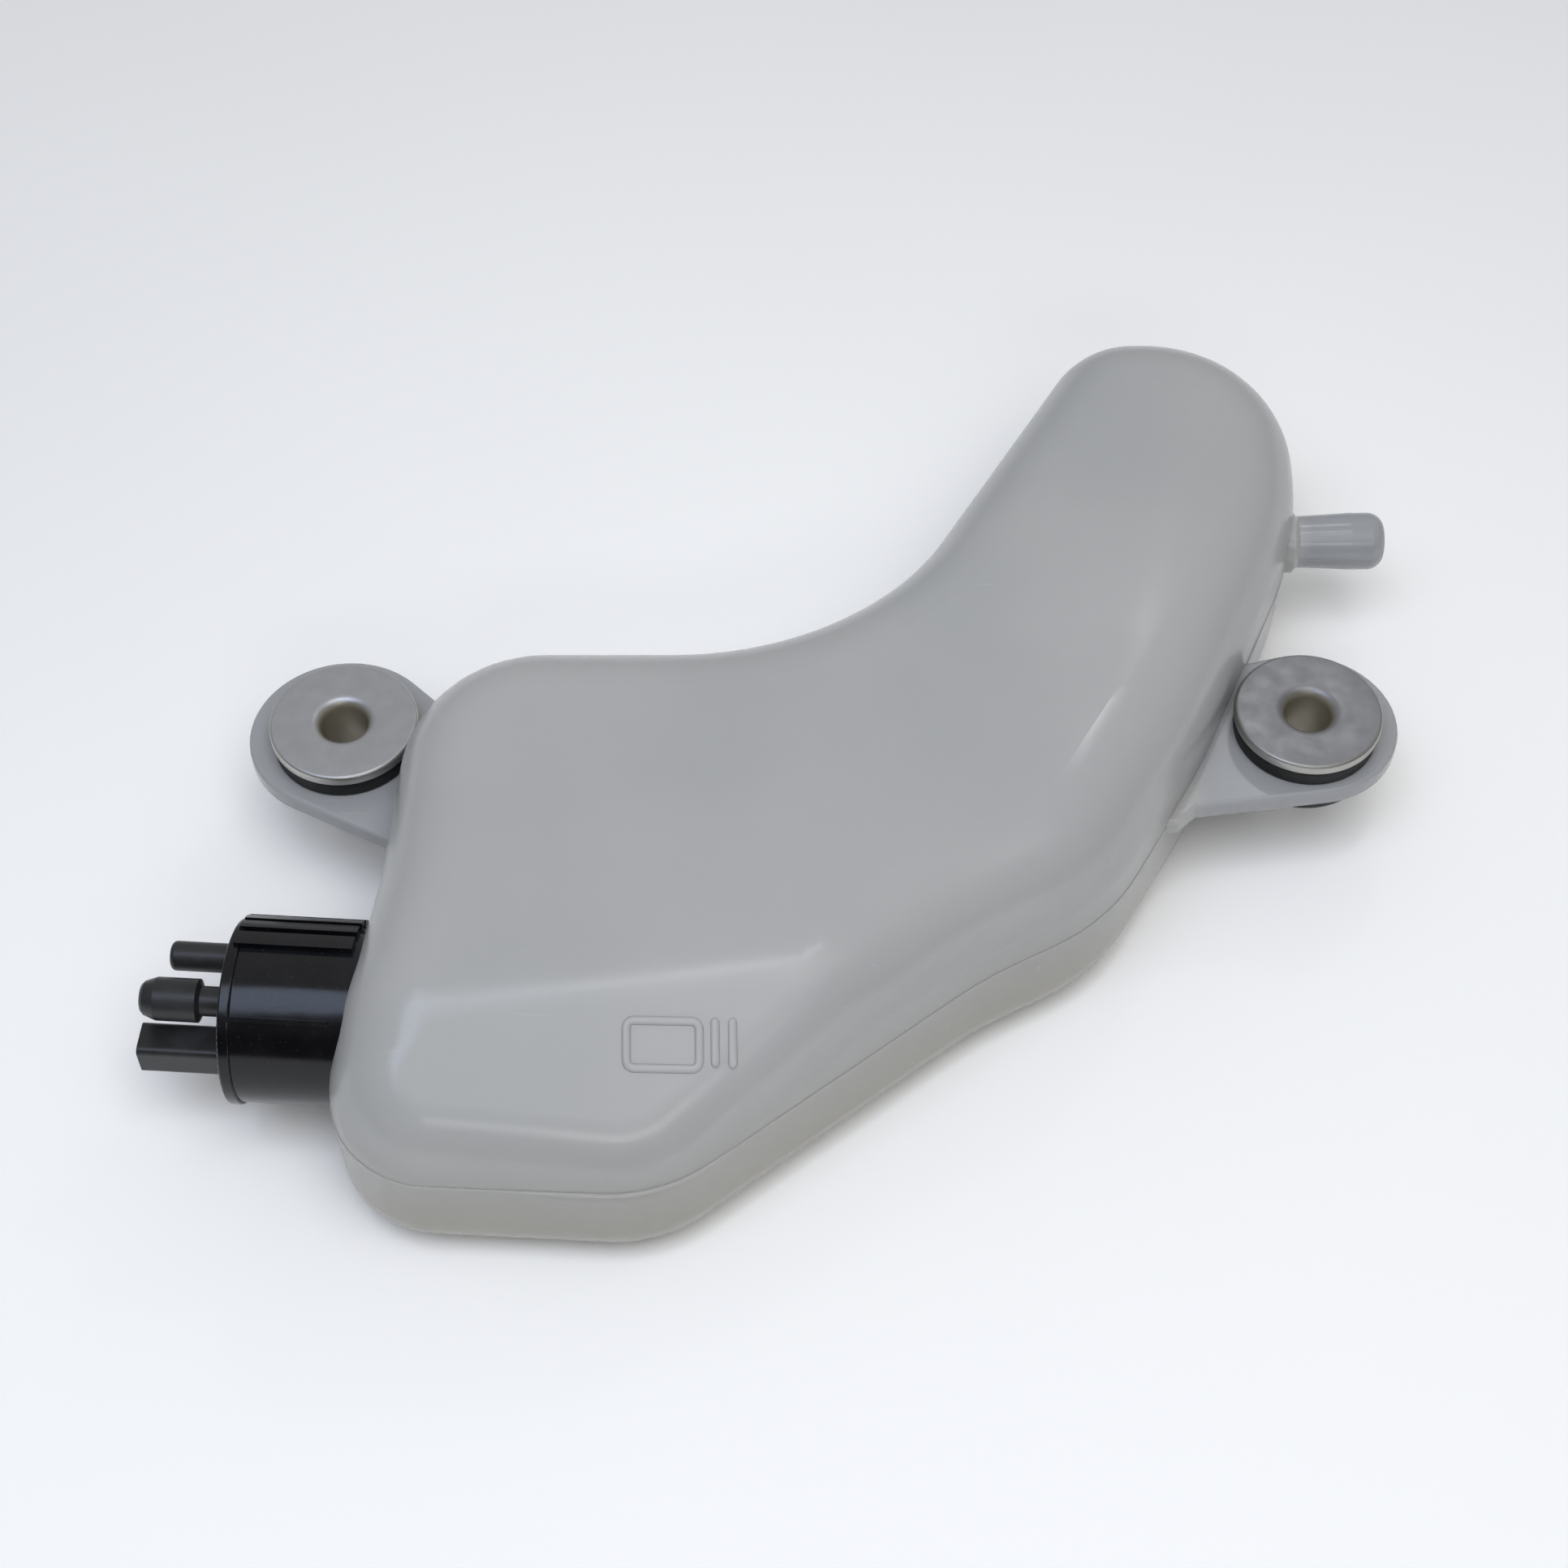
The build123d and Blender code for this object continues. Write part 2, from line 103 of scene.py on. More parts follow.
def put(
    tree: bpy.types.NodeTree, kind: str, inputs: dict[str | int, Any], out: int = 0, **settings: Any
) -> bpy.types.NodeSocket | None:
    """Add one shader node.

    Args:
        tree: the material's node tree.
        kind: Blender's name of the node type, without its ShaderNode prefix.
        inputs: for each input, by name or number, a constant or the socket linked to it.
        out: number of the output wanted.
        **settings: attributes of the node itself.

    Returns:
        The wanted output, or None for a node that has no outputs.
    """
    node = tree.nodes.new(f"ShaderNode{kind}")
    for name, value in settings.items():
        setattr(node, name, value)
    for name, value in inputs.items():
        if isinstance(value, bpy.types.NodeSocket):
            tree.links.new(value, node.inputs[name])
        else:
            node.inputs[name].default_value = value
    return node.outputs[out] if node.outputs else None


@dataclass(frozen=True)
class Finish:
    """A surface as it comes from its maker, turned into one node material.

    Attributes:
        name: the material's common name and how its surface was made.
        colour: sRGB hex of the clean surface.
        shade: sRGB hex of its darker or aged places.
        roughness: roughness of the clean surface.
        ior: index of refraction; metals keep Blender's default.
        metallic: one for bare metal.
        cloud_mm: size of the slow variation in colour.
        grain_mm: size of the fine surface grain.
        relief_mm: depth of the fine grain.
        spread: how far roughness wanders either way.
    """

    name: str
    colour: str
    shade: str
    roughness: float
    ior: float = 1.5
    metallic: float = 0.0
    cloud_mm: float = 12.0
    grain_mm: float = 0.4
    relief_mm: float = 0.004
    spread: float = 0.06

    def make(self) -> bpy.types.Material:
        """Build the node material.

        Returns:
            The material.
        """
        material = bpy.data.materials.new(self.name)
        material.use_nodes = True
        tree = material.node_tree
        tree.nodes.clear()
        where = put(tree, "TexCoord", {}, 3)
        inputs = {"Metallic": self.metallic} | self.layers(tree, where)
        if self.metallic == 0.0:
            inputs["IOR"] = self.ior
        shader = put(tree, "BsdfPrincipled", inputs)
        put(tree, "OutputMaterial", {"Surface": shader})
        material.diffuse_color = linear(self.colour)
        return material

    def layers(self, tree: bpy.types.NodeTree, where: bpy.types.NodeSocket) -> dict[str, Any]:
        """Lay out clouded colour, wandering roughness and a fine grain.

        Args:
            tree: the node tree.
            where: object coordinates.

        Returns:
            The shader's inputs.
        """
        colour, rough = self.mottled(tree, where, (0.35, 0.65))
        return {"Base Color": colour, "Roughness": rough, "Normal": self.grained(tree, where)}

    def mottled(
        self, tree: bpy.types.NodeTree, where: bpy.types.NodeSocket, span: tuple[float, float],
        detail: float = 4.0, ease: str = "SMOOTHSTEP",
    ) -> tuple[bpy.types.NodeSocket, bpy.types.NodeSocket]:
        """Lay out one slow noise that moves the colour and the roughness together.

        Args:
            tree: the node tree.
            where: object coordinates.
            span: part of the noise over which the clean colour turns to the shade.
            detail: how fine the noise gets.
            ease: how the colour turns over that span.

        Returns:
            The colour and the roughness.
        """
        cloud = put(tree, "TexNoise", {"Vector": where, "Scale": per_mm(self.cloud_mm), "Detail": detail})
        share = put(tree, "MapRange", {0: cloud, 1: span[0], 2: span[1]}, interpolation_type=ease)
        colour = put(tree, "Mix", {0: share, 6: linear(self.colour), 7: linear(self.shade)}, 2,
                     data_type="RGBA")
        rough = put(tree, "MapRange", {0: cloud, 1: 0.3, 2: 0.7, 3: self.roughness - self.spread,
                                       4: self.roughness + self.spread})
        return colour, rough

    def grained(
        self, tree: bpy.types.NodeTree, where: bpy.types.NodeSocket,
        under: bpy.types.NodeSocket | None = None,
    ) -> bpy.types.NodeSocket:
        """Lay the fine grain over the relief below it.

        Args:
            tree: the node tree.
            where: object coordinates.
            under: the normal of that relief, if there is one.

        Returns:
            The normal.
        """
        grain = put(tree, "TexNoise", {"Vector": where, "Scale": per_mm(self.grain_mm), "Detail": 3.0})
        inputs = {"Height": grain, "Distance": self.relief_mm * MM, "Strength": 1.0}
        return put(tree, "Bump", inputs if under is None else inputs | {"Normal": under})


@dataclass(frozen=True)
class BlowMouldedPolyethylene(Finish):
    """Natural high-density polyethylene from a blow mould.

    Milky and slightly see-through, so light softens inside it. Its satin skin has a faint sandblast
    grain from the mould, soft clouds where the wall is thicker, painted shade as a darker, warmer tone
    low on the sides, ears darker for the thin wall and painted shade, and hair scuffs from handling.

    Attributes:
        milk: share of light that scatters inside the wall.
        milk_mm: how far it travels there.
        wall_mm: size of the clouds where the wall is thicker.
        low_painted_shade: sRGB hex of the painted shade near the back rim.
        low_mm: heights between which that painted shade comes in.
        front_mm: Y between which it grows from a quarter to full.
        ear_tone_and_painted_shade: sRGB hex of the thin pinched ears and of the nipple; on the ears it is
            also painted shade.
        ear_from_mm: distance from the middle where the ears begin, and where their tone is full.
        ear_at_mm: Y and Z of the middle of both ears.
        ear_half_mm: half the ear's thickness, and where its tone is gone.
        ear_wide_mm: half the ear's length along Y, and where its tone is gone.
        nipple_mm: X between which the nipple's tone comes in.
        scuff_tone: sRGB hex of the scuffs.
        scuff_share: how much of it they take.
        scuff_mm: size of the drawn-out noise that makes a scuff, and of the scuffed patches.
        swell_mm: size and depth of the slow waves that cooling leaves.
        bulge_at_mm: plan point of the elbow, where the wall bulges.
        bulge_mm: radius and height of that bulge.
        scuff_deep_mm: depth of a scuff.
    """

    milk: float = 0.3
    milk_mm: float = 2.5
    wall_mm: float = 46.0
    low_painted_shade: str = "9c998f"
    low_mm: tuple[float, float] = (29.0, 5.0)
    front_mm: tuple[float, float] = (30.0, -30.0)
    ear_tone_and_painted_shade: str = "95979b"
    ear_from_mm: tuple[float, float] = (50.0, 54.0)
    ear_at_mm: tuple[float, float] = (14.0, 18.0)
    ear_half_mm: tuple[float, float] = (1.8, 2.4)
    ear_wide_mm: tuple[float, float] = (17.0, 21.0)
    nipple_mm: tuple[float, float] = (71.5, 74.5)
    scuff_tone: str = "c6c9c8"
    scuff_share: float = 0.15
    scuff_mm: tuple[float, float] = (0.9, 24.0)
    swell_mm: tuple[float, float] = (28.0, 0.2)
    bulge_at_mm: tuple[float, float] = (37.0, -3.0)
    bulge_mm: tuple[float, float] = (24.0, 0.6)
    scuff_deep_mm: float = 0.004

    def layers(self, tree: bpy.types.NodeTree, where: bpy.types.NodeSocket) -> dict[str, Any]:
        """Lay out milk, wall clouds, low painted shade, thin tones with ear shade, sandblast grain,
        scuffs.
        """
        wall = put(tree, "TexNoise", {"Vector": where, "Scale": per_mm(self.wall_mm), "Detail": 2.0})
        thick = put(tree, "MapRange", {0: wall, 1: 0.35, 2: 0.65}, interpolation_type="SMOOTHSTEP")
        worn = self.scuffs(tree, where)
        hint = put(tree, "Math", {0: worn, 1: self.scuff_share}, operation="MULTIPLY")
        body: bpy.types.NodeSocket | tuple[float, ...] = linear(self.colour)
        # Painted shade: the low sides get a darker, warmer tone, and the ears get shade painted into their
        # thin tone.
        for share, tone in ((thick, self.shade), (self.low(tree, where), self.low_painted_shade),
                            (self.thin(tree, where), self.ear_tone_and_painted_shade), (hint, self.scuff_tone)):
            body = put(tree, "Mix", {0: share, 6: body, 7: linear(tone)}, 2, data_type="RGBA")
        cloud = put(tree, "TexNoise", {"Vector": where, "Scale": per_mm(self.cloud_mm), "Detail": 4.0})
        smooth, dull = self.roughness - self.spread, self.roughness + self.spread
        rough = put(tree, "MapRange", {0: cloud, 1: 0.3, 2: 0.7, 3: smooth, 4: dull})
        swell = put(tree, "TexNoise", {"Vector": where, "Scale": per_mm(self.swell_mm[0]), "Detail": 1.0})
        grain = put(tree, "TexNoise", {"Vector": where, "Scale": per_mm(self.grain_mm), "Detail": 2.0})
        normal = put(tree, "Bump", {"Height": swell, "Distance": self.swell_mm[1] * MM, "Strength": 1.0})
        for height, deep_mm in ((self.bulge(tree, where), self.bulge_mm[1]), (grain, self.relief_mm),
                                (worn, self.scuff_deep_mm)):
            normal = put(tree, "Bump", {"Height": height, "Distance": deep_mm * MM, "Strength": 1.0,
                                        "Normal": normal})
        reach = self.milk_mm * MM
        return {"Base Color": body, "Roughness": rough, "Normal": normal, "Subsurface Weight": self.milk,
                "Subsurface Radius": (reach, reach, 0.9 * reach), "Subsurface Scale": 1.0}

    def low(self, tree: bpy.types.NodeTree, where: bpy.types.NodeSocket) -> bpy.types.NodeSocket:
        """Mark the low sides, where shade is painted, most at the near end.

        Args:
            tree: the node tree.
            where: object coordinates.

        Returns:
            Nought on the front face, growing to 0.9 at the back rim.
        """
        y, z = (put(tree, "SeparateXYZ", {0: where}, number) for number in (1, 2))
        depth = put(tree, "MapRange", {0: z, 1: self.low_mm[0] * MM, 2: self.low_mm[1] * MM, 3: 0.0,
                                       4: 0.9}, interpolation_type="SMOOTHSTEP")
        front = put(tree, "MapRange", {0: y, 1: self.front_mm[0] * MM, 2: self.front_mm[1] * MM, 3: 0.25,
                                       4: 1.0}, interpolation_type="SMOOTHSTEP")
        return put(tree, "Math", {0: depth, 1: front}, operation="MULTIPLY")

    def thin(self, tree: bpy.types.NodeTree, where: bpy.types.NodeSocket) -> bpy.types.NodeSocket:
        """Mark the thin ears and the nipple; on the ears this also paints shade.

        An ear is where the point is far enough out, level with the parting plane and beside the
        ear's hole; the nipple is further out still, and not beside it.

        Args:
            tree: the node tree.
            where: object coordinates.

        Returns:
            About one on the ears and the nipple, and nought elsewhere.
        """
        x, y, z = (put(tree, "SeparateXYZ", {0: where}, number) for number in range(3))
        wide = put(tree, "Math", {0: x}, operation="ABSOLUTE")
        out = put(tree, "MapRange", {0: wide, 1: self.ear_from_mm[0] * MM, 2: self.ear_from_mm[1] * MM},
                  interpolation_type="SMOOTHSTEP")
        shares = []
        for place, middle, reach in ((z, self.ear_at_mm[1], self.ear_half_mm),
                                     (y, self.ear_at_mm[0], self.ear_wide_mm)):
            off = put(tree, "Math", {0: place, 1: middle * MM}, operation="SUBTRACT")
            far = put(tree, "Math", {0: off}, operation="ABSOLUTE")
            shares.append(put(tree, "MapRange", {0: far, 1: reach[0] * MM, 2: reach[1] * MM, 3: 1.0,
                                                 4: 0.0}))
        level, beside = shares
        # The ears' share carries painted shade along with the thin wall's darker tone.
        ear = put(tree, "Math", {0: out, 1: level}, operation="MULTIPLY")
        ear = put(tree, "Math", {0: ear, 1: beside}, operation="MULTIPLY")
        ear = put(tree, "Math", {0: ear, 1: 0.8}, operation="MULTIPLY")
        tube = put(tree, "MapRange", {0: x, 1: self.nipple_mm[0] * MM, 2: self.nipple_mm[1] * MM,
                                      3: 0.0, 4: 0.9}, interpolation_type="SMOOTHSTEP")
        apart = put(tree, "Math", {0: 1.0, 1: beside}, operation="SUBTRACT")
        tube = put(tree, "Math", {0: tube, 1: apart}, operation="MULTIPLY")
        return put(tree, "Math", {0: ear, 1: tube}, operation="MAXIMUM")

    def bulge(self, tree: bpy.types.NodeTree, where: bpy.types.NodeSocket) -> bpy.types.NodeSocket:
        """Swell the front face gently at the elbow, where the hot wall was blown out furthest.

        Args:
            tree: the node tree.
            where: object coordinates.

        Returns:
            One at the elbow, falling to nought at the bulge's radius.
        """
        x0, y0 = self.bulge_at_mm
        moved = put(tree, "Mapping", {"Vector": where, "Location": (-x0 * MM, -y0 * MM, 0.0)})
        level = put(tree, "VectorMath", {0: moved, 1: (1.0, 1.0, 0.0)}, operation="MULTIPLY")
        far = put(tree, "VectorMath", {0: level}, 1, operation="LENGTH")
        return put(tree, "MapRange", {0: far, 1: 0.0, 2: self.bulge_mm[0] * MM, 3: 1.0, 4: 0.0},
                   interpolation_type="SMOOTHSTEP")

    def scuffs(self, tree: bpy.types.NodeTree, where: bpy.types.NodeSocket) -> bpy.types.NodeSocket:
        """Draw hair scuffs about 0.25 mm wide and 5 mm long, in two directions and only in patches.

        Args:
            tree: the node tree.
            where: object coordinates.

        Returns:
            One on a scuff and nought beside it.
        """
        marks = []
        for turn in (0.35, 1.75):
            lie = put(tree, "Mapping", {"Vector": where, "Rotation": (0.0, 0.0, turn),
                                        "Scale": (0.05, 1.0, 0.4)})
            line = put(tree, "TexNoise", {"Vector": lie, "Scale": per_mm(self.scuff_mm[0]), "Detail": 1.0})
            marks.append(put(tree, "MapRange", {0: line, 1: 0.73, 2: 0.79}))
        both = put(tree, "Math", {0: marks[0], 1: marks[1]}, operation="MAXIMUM")
        patch = put(tree, "TexNoise", {"Vector": where, "Scale": per_mm(self.scuff_mm[1]), "Detail": 2.0})
        keep = put(tree, "MapRange", {0: patch, 1: 0.5, 2: 0.62})
        return put(tree, "Math", {0: both, 1: keep}, operation="MULTIPLY")


@dataclass(frozen=True)
class ZincPlate(Finish):
    """Turned steel collar, zinc plated and dull with age.

    The flat face keeps faint rings 0.5 mm apart from turning under a grey bloom. Its outer edge is
    lighter and warmer, and the bore is painted light: a pale straw tone that brightens its shade.

    Attributes:
        centre_mm: X and Y of the collar's axis.
        turn_mm: distance between the turning rings.
        turn_deep_mm: their depth.
        wobble_mm: size of their waver.
        edge_tone: sRGB hex of the lighter outer edge.
        edge_mm: radii between which it comes in.
        bore_painted_light: sRGB hex of the pale tone painted in the shaded bore as light.
        bore_mm: radii between which it goes.
    """

    centre_mm: tuple[float, float] = (0.0, 0.0)
    turn_mm: float = 0.5
    turn_deep_mm: float = 0.0008
    wobble_mm: float = 2.5
    edge_tone: str = "c4c2b8"
    edge_mm: tuple[float, float] = (9.9, 10.4)
    bore_painted_light: str = "918b7b"
    bore_mm: tuple[float, float] = (3.4, 4.2)

    def layers(self, tree: bpy.types.NodeTree, where: bpy.types.NodeSocket) -> dict[str, Any]:
        """Lay out bloom, turning rings, a lighter edge and painted light in the bore about the collar's
        axis.
        """
        x0, y0 = self.centre_mm
        moved = put(tree, "Mapping", {"Vector": where, "Location": (-x0 * MM, -y0 * MM, 0.0)})
        level = put(tree, "VectorMath", {0: moved, 1: (1.0, 1.0, 0.0)}, operation="MULTIPLY")
        radius = put(tree, "VectorMath", {0: level}, 1, operation="LENGTH")
        wobble = put(tree, "TexNoise", {"Vector": where, "Scale": per_mm(self.wobble_mm), "Detail": 2.0})
        turns = put(tree, "Math", {0: radius, 1: per_mm(self.turn_mm), 2: wobble},
                    operation="MULTIPLY_ADD")
        phase = put(tree, "Math", {0: turns, 1: 2.0 * math.pi}, operation="MULTIPLY")
        rings = put(tree, "Math", {0: phase}, operation="SINE")
        colour, rough = self.mottled(tree, where, (0.3, 0.7), detail=5.0)
        edge = put(tree, "MapRange", {0: radius, 1: self.edge_mm[0] * MM, 2: self.edge_mm[1] * MM,
                                      3: 0.0, 4: 0.6}, interpolation_type="SMOOTHSTEP")
        # Painted light: the bore gets a pale straw tone and less metal, to brighten it where it lies in
        # shade.
        bore = put(tree, "MapRange", {0: radius, 1: self.bore_mm[0] * MM, 2: self.bore_mm[1] * MM,
                                      3: 1.0, 4: 0.0}, interpolation_type="SMOOTHSTEP")
        for share, tone in ((edge, self.edge_tone), (bore, self.bore_painted_light)):
            colour = put(tree, "Mix", {0: share, 6: colour, 7: linear(tone)}, 2, data_type="RGBA")
        metal = put(tree, "Math", {0: 1.0, 1: bore}, operation="SUBTRACT")
        metal = put(tree, "MapRange", {0: metal, 1: 0.0, 2: 1.0, 3: 0.55, 4: 1.0})
        normal = put(tree, "Bump", {"Height": rings, "Distance": self.turn_deep_mm * MM, "Strength": 1.0})
        return {"Base Color": colour, "Roughness": rough, "Metallic": metal,
                "Normal": self.grained(tree, where, normal)}


@dataclass(frozen=True)
class PolishedNylon(Finish):
    """Black glass-filled nylon from a polished mould.

    Deep black with a sharp gloss that wavers where the plastic sank, a little dust, and rub marks
    drawn along the barrel. The dust is drawn as 0.3 mm specks, coarser than it is, so that it shows.

    Attributes:
        dust_tone: sRGB hex of the dust.
        dust_mm: size of a speck.
        rub_mm: width of a rub mark.
        sink_mm: size and depth of the sink waves.
        gloss: strength of the mirror shine.
    """

    dust_tone: str = "5a595e"
    dust_mm: float = 0.3
    rub_mm: float = 0.6
    sink_mm: tuple[float, float] = (6.0, 0.035)
    gloss: float = 0.38

    def layers(self, tree: bpy.types.NodeTree, where: bpy.types.NodeSocket) -> dict[str, Any]:
        """Lay out sink waves, dust and rub marks."""
        soil = put(tree, "TexNoise", {"Vector": where, "Scale": per_mm(self.cloud_mm), "Detail": 3.0})
        stain = put(tree, "MapRange", {0: soil, 1: 0.45, 2: 0.7, 3: 0.0, 4: 0.5})
        colour = put(tree, "Mix", {0: stain, 6: linear(self.colour), 7: linear(self.shade)}, 2,
                     data_type="RGBA")
        speck = put(tree, "TexNoise", {"Vector": where, "Scale": per_mm(self.dust_mm), "Detail": 2.0})
        dust = put(tree, "MapRange", {0: speck, 1: 0.66, 2: 0.74, 3: 0.0, 4: 0.22})
        colour = put(tree, "Mix", {0: dust, 6: colour, 7: linear(self.dust_tone)}, 2,
                     data_type="RGBA")
        lie = put(tree, "Mapping", {"Vector": where, "Scale": (0.08, 1.0, 1.0)})
        drawn = put(tree, "TexNoise", {"Vector": lie, "Scale": per_mm(self.rub_mm), "Detail": 2.0})
        rub = put(tree, "MapRange", {0: drawn, 1: 0.6, 2: 0.78, 3: 0.0, 4: 0.07})
        base = put(tree, "MapRange", {0: soil, 1: 0.3, 2: 0.7, 3: self.roughness,
                                      4: self.roughness + self.spread})
        rough = put(tree, "Math", {0: base, 1: rub}, operation="ADD")
        sink = put(tree, "TexNoise", {"Vector": where, "Scale": per_mm(self.sink_mm[0]), "Detail": 1.0})
        normal = put(tree, "Bump", {"Height": sink, "Distance": self.sink_mm[1] * MM, "Strength": 1.0})
        return {"Base Color": colour, "Roughness": rough, "Normal": self.grained(tree, where, normal),
                "Specular IOR Level": self.gloss}


@dataclass(frozen=True)
class MouldedRubber(Finish):
    """Rubber from a compression mould, such as nitrile or fluorocarbon rubber.

    Matt and dark, with a greyer bloom in patches and a fine pitted skin.
    """

    def layers(self, tree: bpy.types.NodeTree, where: bpy.types.NodeSocket) -> dict[str, Any]:
        """Lay out the pitted skin and a grey bloom."""
        colour, rough = self.mottled(tree, where, (0.5, 0.72), ease="LINEAR")
        pits = put(tree, "TexVoronoi", {"Vector": where, "Scale": per_mm(self.grain_mm)})
        normal = put(tree, "Bump", {"Height": pits, "Distance": self.relief_mm * MM, "Strength": 1.0})
        return {"Base Color": colour, "Roughness": rough, "Normal": normal}


@dataclass(frozen=True)
class WoundCopper(Finish):
    """Enamelled copper wire, wound in layers.

    Each turn shows as a fine rib under a clear coat of enamel.

    Attributes:
        wire_mm: distance between the ribs.
        wire_deep_mm: how deep the grooves between them look.
    """

    wire_mm: float = 0.35
    wire_deep_mm: float = 0.05

    def layers(self, tree: bpy.types.NodeTree, where: bpy.types.NodeSocket) -> dict[str, Any]:
        """Lay out the ribs of the wire and the tone of the enamel."""
        lean = put(tree, "Mapping", {"Vector": where, "Rotation": (0.6, 0.3, 0.9)})
        wire = put(tree, "TexWave", {"Vector": lean, "Scale": per_mm(self.wire_mm) / WAVES_PER_SCALE,
                                     "Distortion": 1.5, "Detail": 1.0})
        tone = put(tree, "TexNoise", {"Vector": where, "Scale": per_mm(self.cloud_mm), "Detail": 3.0})
        colour = put(tree, "Mix", {0: tone, 6: linear(self.colour), 7: linear(self.shade)}, 2,
                     data_type="RGBA")
        rough = put(tree, "MapRange", {0: tone, 1: 0.3, 2: 0.7, 3: self.roughness - self.spread,
                                       4: self.roughness + self.spread})
        normal = put(tree, "Bump", {"Height": wire, "Distance": self.wire_deep_mm * MM, "Strength": 1.0})
        return {"Base Color": colour, "Roughness": rough, "Normal": normal, "Coat Weight": 0.4,
                "Coat Roughness": 0.15}


class Shelf:
    """Every finish of this tank, made once and handed out by name."""

    def __init__(self) -> None:
        """List the finishes and start with none made."""
        self.finishes: dict[str, Finish] = {
            "tank": BlowMouldedPolyethylene("polyethylene_natural_blow_moulded", "ababab", "a6a7a7",
                                            0.23, 1.54, cloud_mm=9.0, grain_mm=0.7, relief_mm=0.004,
                                            spread=0.025),
            "grommet_rubber": MouldedRubber("nitrile_rubber_moulded", "0e0e0f", "202021", 0.62, 1.52,
                                            cloud_mm=3.0, grain_mm=0.5, relief_mm=0.02),
            # Both collars are the same zinc plating: the left is painted lighter and the right darker, as
            # painted light and painted shade.
            "collar_left": ZincPlate("steel_zinc_plated_left_painted_lighter", "c9c9cd", "c1c1c4", 0.44, metallic=1.0,
                                     cloud_mm=2.6, grain_mm=0.3, relief_mm=0.003,
                                     centre_mm=(-68.4, 14.0)),
            "collar_right": ZincPlate("steel_zinc_plated_right_painted_darker", "a4a4a8", "9e9ea1", 0.44, metallic=1.0,
                                      cloud_mm=2.6, grain_mm=0.3, relief_mm=0.003,
                                      centre_mm=(68.4, 14.0)),
            "black_plastic": PolishedNylon("nylon_black_polished", "08080b", "131318", 0.13, 1.53,
                                           cloud_mm=5.0, grain_mm=0.5, relief_mm=0.002, spread=0.05),
            # Black acetal from a finely eroded mould: satin, and greyer than the barrel.
            "cover_plastic": Finish("acetal_black_eroded", "1f1f21", "29292b", 0.38, 1.48,
                                    cloud_mm=4.0, grain_mm=0.35, relief_mm=0.008),
            # Natural acetal, moulded: cream white and waxy.
            "inner_plastic": Finish("acetal_natural_moulded", "d8d2c4", "c9c2b2", 0.4, 1.48,
                                    cloud_mm=6.0),
            # Fluorocarbon rubber, moulded: brown black with a dull skin.
            "seal_rubber": MouldedRubber("fluorocarbon_rubber_moulded", "2a1f19", "38291f", 0.55, 1.5,
                                         cloud_mm=2.0, grain_mm=0.4, relief_mm=0.01),
            # Nickel-plated steel, deep drawn: bright grey with soft clouds.
            "can_steel": Finish("steel_nickel_plated_drawn", "b6b3ab", "9b9890", 0.34, metallic=1.0,
                                cloud_mm=5.0, grain_mm=0.3, relief_mm=0.002),
            # Ground steel: cool and bright, with a very fine grain.
            "shaft_steel": Finish("steel_ground", "c3c3c2", "a9a9a9", 0.2, metallic=1.0,
                                  cloud_mm=1.5, grain_mm=0.1, relief_mm=0.001),
            # Sintered ferrite: charcoal grey, dry and slightly porous.
            "magnet": Finish("ferrite_sintered", "2b2c2f", "202124", 0.68, 2.0, cloud_mm=2.0,
                             grain_mm=0.2, relief_mm=0.015),
            # Stacked silicon steel sheets under varnish: dark, with a rough edge grain.
            "core": Finish("silicon_steel_varnished", "4c4d52", "3b3a3c", 0.42, metallic=1.0,
                           cloud_mm=2.5, grain_mm=0.35, relief_mm=0.02),
            "copper": WoundCopper("copper_wire_enamelled", "b5653a", "8d4526", 0.35, metallic=1.0,
                                  cloud_mm=1.2),
            # Stamped brass: warm yellow, darker where fingers and fuel stained it.
            "brass": Finish("brass_stamped", "c9a860", "a98b4a", 0.35, metallic=1.0, cloud_mm=1.5,
                            grain_mm=0.15, relief_mm=0.002),
            # Pressed carbon: dull black with a fine crumbly grain.
            "carbon": Finish("carbon_pressed", "1b1b1c", "262627", 0.6, 1.8, cloud_mm=0.8,
                             grain_mm=0.1, relief_mm=0.01),
            # Sintered bronze: brown gold and open-grained.
            "bronze": Finish("bronze_sintered", "9a7040", "7c5830", 0.48, metallic=1.0, cloud_mm=1.0,
                             grain_mm=0.12, relief_mm=0.01),
            # Drawn spring wire: bright, with lines too fine to see.
            "spring_steel": Finish("spring_wire_drawn", "b9babc", "9fa0a2", 0.25, metallic=1.0,
                                   cloud_mm=1.0, grain_mm=0.08, relief_mm=0.001),
            # Matt white paper on a table: plain, and barely uneven.
            "floor": Finish("paper_matt_white", "fbfbfb", "f8f8f8", 0.9, cloud_mm=300.0,
                            relief_mm=0.0005),
        }
        self.made: dict[str, bpy.types.Material] = {}

    def get(self, name: str) -> bpy.types.Material:
        """Return the material of this finish, making it the first time."""
        if name not in self.made:
            self.made[name] = self.finishes[name].make()
        return self.made[name]

    def dress(self, obj: bpy.types.Object, name: str) -> None:
        """Put one finish on every material slot of an object."""
        if not obj.data.materials:
            obj.data.materials.append(self.get(name))
        for number in range(len(obj.data.materials)):
            obj.data.materials[number] = self.get(name)
        LOG.info("%s dressed in %s", obj.name, self.get(name).name)


